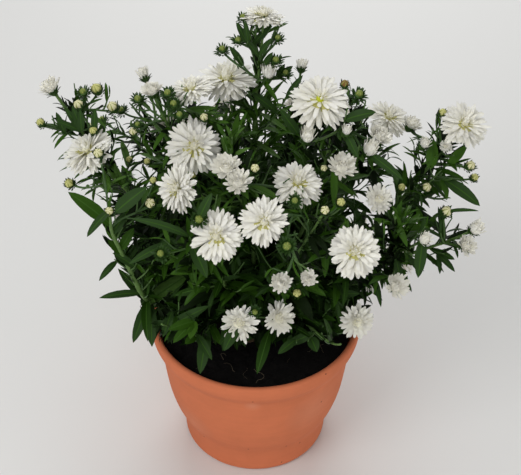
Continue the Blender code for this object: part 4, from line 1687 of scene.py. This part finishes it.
def leaf_arrays(leaves, rng):
    """Points, faces and material numbers of the leaves in their three sizes."""
    points, faces, shades, first = [], [], [], 0
    for size, (stations, columns) in enumerate(LEAF_FORMS):
        own = chosen_leaves(leaves, leaves.size == size)
        count = len(own.base)
        form = {"crease": 1.3, "wave": 0.10 if size == 0 else 0.0, "phase": rng.uniform(0, 6, count)}
        sheet = blades(*own[:8], leaf_outline(stations), columns, **form)
        quads = blade_faces(count, len(stations), len(columns))
        shade = np.repeat(own.shade, len(quads) // max(count, 1)).reshape(-1, len(columns) - 1)
        if size == 0:
            # Leaves in the painted shade keep their darkest green over the midrib too
            outside_painted_shade = shade[:, 1] != PAINTED_SHADE_LEAF
            shade[outside_painted_shade, 1] = LEAF_MIDRIB
        if size == 2:
            shade[:] = YOUNG_LEAF
        points.append(sheet.reshape(-1, 3))
        faces.append(quads + first)
        shades.append(shade.ravel())
        first += sheet.size // 3
    return np.concatenate(points), np.concatenate(faces), np.concatenate(shades)


class ASTER_OT_leaves(bpy.types.Operator):
    """Set the leaves and bracts on the wood, in one piece for each part of the crown"""

    bl_idname = "aster.leaves"
    bl_label = "Leaves"

    def execute(self, context):
        seed = settings_of(context).seed
        masses, _, _ = plant(seed)
        leaves = all_leaves(seed)
        finishes = plain_finishes(LEAF_COLOURS, (0.50, 0.66), 6.0, 0.13)
        rng = np.random.default_rng(seed + 6)
        groups = np.array([group_of(name) for name in leaves.mass])
        for group in LEAF_GROUPS:
            own = chosen_leaves(leaves, groups == group)
            points, faces, shades = leaf_arrays(own, rng)
            nodes = ["mass_" + mass.name for mass in masses if group_of(mass.name) == group]
            new_piece(f"leaves_{group}", points, faces, [], shades, finishes, "foliage", nodes)
        return {"FINISHED"}


def petal_outline(stations):
    """Half width of a strap-shaped ray petal along its length: it widens from a narrow claw until
    two thirds of the way, and rounds in at the tip."""
    rise = 0.34 + 0.66 * np.sin(np.pi / 2 * np.clip(stations / 0.70, 0, 1))
    tip = np.sqrt(1 - (0.86 * np.clip((stations - 0.70) / 0.30, 0, 1)) ** 2)
    return np.stack([stations, rise * tip], -1)


PETAL_STATIONS = np.array((0.0, 0.18, 0.42, 0.68, 0.88, 1.0))
PETAL_COLUMNS = (-1.0, 0.0, 1.0)


def petal_arrays(heads, rng):
    """Parameters of all petals on the heads, one row for each: layer by layer round each head.
    After those of the blades come the share of the way in from the outer layer, and how far the
    petal points away from the tuft's lean."""
    rows = []
    for head in heads:
        one, two = cross_pair(head.facing)
        seat = seat_of(head)
        scale = (head.radius / FULL_RADIUS) ** 0.8 * rng.uniform(0.86, 1.12)
        widest = PETAL_HALF_WIDTH * PETAL_WIDTHS[head.kind] * scale
        # The tuft leans a little up and aside, and the petals are longer on one side
        upward = camera_axes()[1] if head.shown else UP
        lean = square_to(upward + 0.3 * rng.normal(size=3), head.facing)
        longer = rng.uniform(0, 2 * np.pi, 2)
        last = len(PETAL_LAYERS[head.kind]) - 1
        for depth, row in enumerate(PETAL_LAYERS[head.kind]):
            layer = Layer(*row)
            count, inner = layer.count, depth / last
            angle = round_angles(count) + rng.uniform(0, 6) + rng.normal(0, 0.11, count)
            spoke = spokes(angle, one, two)
            steeper = -26.0 * inner**2 * (spoke @ lean)
            rise = np.radians(layer.rise + steeper + rng.normal(0, 4.0, count))[:, None]
            ahead = np.cos(rise) * spoke + np.sin(rise) * head.facing
            up = np.cos(rise) * head.facing - np.sin(rise) * spoke
            lift = (0.02 + 0.18 * depth / last) * head.radius
            base = seat + layer.start * head.radius * spoke + lift * head.facing
            base = base + 0.09 * inner**2 * head.radius * lean
            uneven = 1 + 0.05 * np.cos(angle - longer[0]) + 0.04 * np.cos(2 * angle - longer[1])
            length = layer.length * head.radius * uneven * rng.normal(1.0, 0.07, count)
            width = widest * min(1.0, 0.15 + 1.15 * layer.length) * rng.uniform(0.82, 1.12, count)
            curl = np.radians(layer.curl + rng.normal(0, 9, count))
            fold = np.radians(rng.uniform(0, 10, count))
            shape = (base, ahead, up, length, width, curl, fold, rng.normal(0, 0.15, count))
            rows.append((*shape, np.full(count, inner), -(spoke @ lean)))
    return [np.concatenate(column) for column in zip(*rows, strict=True)]


# Ray petals are thin and soft with a satin bloom. Light spreads inside them, so their shade stays
# pale. They are off-white, cream where they crowd and yellow-green in the heart.
PETAL_SOCKETS = {
    "Sheen Weight": 0.1,
    "Subsurface Weight": 0.6,
    "Subsurface Radius": (1.0, 1.0, 0.95),
    "Subsurface Scale": 2.5 * MM,
}
CROWDED_PETALS = {
    "cream_petal_base": "#edead6",
    "yellow_green_heart": "#cfcb7e",
    "lime_heart": "#b9c01c",
}


def petal_finishes(settings):
    """The finish of the open petals in the colour that the settings give, and those of the heart."""
    colours = {"white_petal": tuple(settings.petal_colour)}
    colours.update({name: linear(code) for name, code in CROWDED_PETALS.items()})
    form = ((0.50, 0.70), 5.0, 0.35, PETAL_SOCKETS)
    return [plain_finish(name, colour, *form) for name, colour in colours.items()]


# Radius and height of the dome in the heart of a bloom, as shares of the bloom's radius, and the
# finish that it has among the petals' own
HEART_FORMS = {
    "open": (0.15, 0.36),
    "eyed": (0.15, 0.26),
    "young": (0.32, 0.44),
    "cup": (0.40, 0.66),
    "barrel": (0.62, 1.15),
}
HEART_SHADES = {"open": 1, "eyed": 3, "young": 1, "cup": 0, "barrel": 0}
# Radius of the green cup that a bloom stands on, and of a bud's cup and of the tip in it as shares
# of the bud's radius
CUP_SIZES = {"open": 3.3 * MM, "eyed": 3.3 * MM, "young": 2.4 * MM, "cup": 3.2 * MM, "barrel": 3.0 * MM}
BUD_CUP = {"bud": 0.82, "green": 0.66, "withered": 0.75}
BUD_TIP = {"bud": 0.86, "green": 0.52, "withered": 0.80}
# Rows of bracts on a cup: how many, their length in the cup's radii and their rise in degrees
BLOOM_BRACTS = ((11, 0.85, 70), (11, 0.75, 50))
BUD_BRACTS = ((13, 0.95, 76), (12, 0.75, 60), (10, 0.6, 30))
GREEN_BRACTS = ((13, 0.95, 66), (13, 1.0, 46), (12, 0.9, 24))
BUD_COLOURS = {
    "bud_tip_yellow_green": "#c3c27a",
    "bud_tip_pale": "#dcd8ab",
    "bud_tip_withered": "#7a5a2c",
    "bud_tip_green": "#6f8034",
    "bud_tip_fold": "#8f9648",
}
BUD_SHADES = {"withered": 2, "green": 3}
FOLD_SHADE = 4


def bud_size(head):
    """Radius of the green cup that a head stands on."""
    return CUP_SIZES.get(head.kind) or BUD_CUP[head.kind] * head.radius


CUP_SIDES = 9
CUP_SHARES = np.array((0.0, 0.25, 0.55, 0.85, 1.0))
CUP_RADII = np.array((0.26, 0.72, 0.98, 1.0, 0.78))


def add_bracted_cups(name, heads, rng, bract_rows, bends=(0, 45)):
    """One piece of closed bells, each turned about its head's facing from the stalk to the seat,
    and of the narrow bracts that stand on them in rows (count, length in bell radii, rise)."""
    seats = np.stack([seat_of(head) for head in heads])
    facing = np.stack([head.facing for head in heads])
    size = np.array([bud_size(head) for head in heads])
    height = 1.5 * size
    foot = seats - (height * 0.8)[:, None] * facing
    lines = foot[:, None] + (CUP_SHARES[None] * height[:, None])[..., None] * facing[:, None]
    bell = tubes(lines, size[:, None] * CUP_RADII[None], CUP_SIDES)
    quads, fans = tube_faces(len(heads), len(CUP_SHARES), CUP_SIDES)
    points = [bell.reshape(-1, 3)]
    first = len(points[0])
    one, two = cross_pair(facing)
    faces = [quads]
    stations, columns = LEAF_FORMS[2]
    for row, (count, length, rise) in enumerate(bract_rows):
        angle = round_angles(count) + rng.uniform(0, 6, (len(heads), 1)) + row
        spoke = spokes(angle, one[:, None], two[:, None])
        tilt = np.radians(rise + rng.normal(0, 9, angle.shape))[..., None]
        ahead = np.cos(tilt) * spoke + np.sin(tilt) * facing[:, None]
        up = np.cos(tilt) * facing[:, None] - np.sin(tilt) * spoke
        at = 0.50 - 0.22 * row
        around = 0.90 - 0.12 * row
        base = foot[:, None] + (at * height)[:, None, None] * facing[:, None]
        base = base + (around * size)[:, None, None] * spoke
        long = np.repeat(size[:, None], count, 1) * length * rng.uniform(0.9, 1.35, angle.shape)
        total = len(heads) * count
        bend = np.radians(rng.uniform(*bends, total))
        axes = [part.reshape(-1, 3) for part in (base, ahead, up)]
        form = (1.5 * long.ravel(), 0.27 * size.repeat(count), bend, np.full(total, 0.3), np.zeros(total))
        sheet = blades(*axes, *form, leaf_outline(stations), columns)
        faces.append(blade_faces(total, len(stations), len(columns)) + first)
        points.append(sheet.reshape(-1, 3))
        first += len(points[-1])
    shades = [np.full(len(group), min(k, 1)) for k, group in enumerate(faces)]
    shades = np.concatenate([*shades, np.zeros(len(fans), int)])
    finishes = plain_finishes({name + "_green": "#3f5f22", name + "_bract": "#2c4a17"}, (0.5, 0.7))
    new_piece(name, np.concatenate(points), np.concatenate(faces), fans, shades, finishes, "bud")


DOME_SIDES = 20
TIP_SHARES = np.array((0.0, 0.20, 0.45, 0.70, 0.90, 1.0))
TIP_RADII = np.array((0.70, 0.92, 1.0, 0.86, 0.52, 0.20))


def add_domes(name, heads, widths, heights, kinds, finishes, slot, fold_shade=None):
    """One piece of closed domes, each turned about its head's facing from its seat up, with its
    radius and height given as shares of the head's, and ridged by a cosine of five waves round,
    which turns with the height. One face in four round it may have the shade of the folds."""
    seats = np.stack([seat_of(head) for head in heads])
    facing = np.stack([head.facing for head in heads])
    radius = np.array([head.radius for head in heads])
    rise = (TIP_SHARES[None] * (heights * radius)[:, None])[..., None]
    lines = seats[:, None] + rise * facing[:, None]
    relief = 0.06 * np.cos(5 * round_angles(DOME_SIDES) + 2.5 * TIP_SHARES[:, None])[None]
    radii = (widths * radius)[:, None] * TIP_RADII[None]
    tube_piece(name, lines, radii, DOME_SIDES, kinds, finishes, slot, relief=relief, fold=fold_shade)


class ASTER_OT_blooms(bpy.types.Operator):
    """Build the blooms: layers of ray petals over a green cup of bracts"""

    bl_idname = "aster.blooms"
    bl_label = "Blooms"

    def execute(self, context):
        settings = settings_of(context)
        _, heads, _ = plant(settings.seed)
        rng = np.random.default_rng(settings.seed + 7)
        blooms = [head for head in heads if head.kind in PETAL_LAYERS]
        finishes = petal_finishes(settings)
        for name, on_right in (("left", False), ("right", True)):
            own = [head for head in blooms if (head.place[0] >= 0) == on_right]
            *shape, inner, beneath = petal_arrays(own, rng)
            outline = petal_outline(PETAL_STATIONS)
            sheet = blades(*shape, outline, PETAL_COLUMNS, crease=2.0, rounding=0.05)
            quads = blade_faces(len(inner), len(PETAL_STATIONS), len(PETAL_COLUMNS))
            shade = np.zeros((len(inner), len(PETAL_STATIONS) - 1, len(PETAL_COLUMNS) - 1), int)
            shade[:, 0] = 1
            shade[(inner > 0.30) & (inner < 0.75), 0] = 2
            shade[inner > 0.65, 1] = 1
            # A yellow-green crescent shows under the tuft
            shade[(inner > 0.45) & (inner < 0.65) & (beneath > 0.30), :2] = 2
            new_piece(f"petals_{name}", sheet, quads, [], shade.ravel(), finishes, "petal")
        add_bracted_cups("bloom_cups", blooms, rng, BLOOM_BRACTS)
        # The heart of each bloom: cream in an open or young one, lime in an eyed one, else white
        form = np.array([HEART_FORMS[head.kind] for head in blooms])
        kinds = np.array([HEART_SHADES[head.kind] for head in blooms])
        add_domes("bloom_hearts", blooms, form[:, 0], form[:, 1], kinds, finishes, "petal")
        return {"FINISHED"}


def add_tips(buds):
    """The folded petals that show at a bud's top."""
    reach = np.array([BUD_TIP[head.kind] * head.radius for head in buds])
    radius = np.array([head.radius for head in buds])
    kinds = np.array([BUD_SHADES.get(head.kind, k % 2) for k, head in enumerate(buds)])
    finishes = [
        plain_finish(name, linear(code), (0.7, 0.9) if "withered" in name else (0.5, 0.7))
        for name, code in BUD_COLOURS.items()
    ]
    wide, high = reach / radius, 1.5 * reach / radius
    add_domes("bud_tips", buds, wide, high, kinds, finishes, "bud", FOLD_SHADE)


class ASTER_OT_buds(bpy.types.Operator):
    """Build the buds: a ridged, pale tip in a green cup of bracts, which spread on a green bud"""

    bl_idname = "aster.buds"
    bl_label = "Buds"

    def execute(self, context):
        _, heads, _ = plant(settings_of(context).seed)
        rng = np.random.default_rng(settings_of(context).seed + 8)
        pale = [head for head in heads if head.kind in ("bud", "withered")]
        green = [head for head in heads if head.kind == "green"]
        add_bracted_cups("bud_cups", pale, rng, BUD_BRACTS, bends=(-35, 15))
        add_bracted_cups("green_bud_cups", green, rng, GREEN_BRACTS)
        add_tips(pale + green)
        return {"FINISHED"}


class ASTER_PT_panel(bpy.types.Panel):
    """The aster's settings and makers, in the sidebar"""

    bl_idname = "ASTER_PT_panel"
    bl_label = "Potted Aster"
    bl_space_type = "VIEW_3D"
    bl_region_type = "UI"
    bl_category = "Aster"

    def draw(self, context):
        settings = settings_of(context)
        for name in AsterSettings.__annotations__:
            self.layout.prop(settings, name)
        for operator in MAKERS:
            self.layout.operator(operator.bl_idname)


MAKERS = (
    ASTER_OT_stage,
    ASTER_OT_pot,
    ASTER_OT_compost,
    ASTER_OT_stem,
    ASTER_OT_limbs,
    ASTER_OT_twigs,
    ASTER_OT_leaves,
    ASTER_OT_blooms,
    ASTER_OT_buds,
)


def register():
    bpy.utils.register_class(AsterSettings)
    for operator in MAKERS:
        bpy.utils.register_class(operator)
    bpy.utils.register_class(ASTER_PT_panel)
    bpy.types.Scene.aster_settings = PointerProperty(type=AsterSettings)


def unregister():
    del bpy.types.Scene.aster_settings
    bpy.utils.unregister_class(ASTER_PT_panel)
    for operator in reversed(MAKERS):
        bpy.utils.unregister_class(operator)
    bpy.utils.unregister_class(AsterSettings)


def main():
    register()
    for operator in MAKERS:
        group, name = operator.bl_idname.split(".")
        getattr(getattr(bpy.ops, group), name)()


if __name__ == "__main__":
    main()
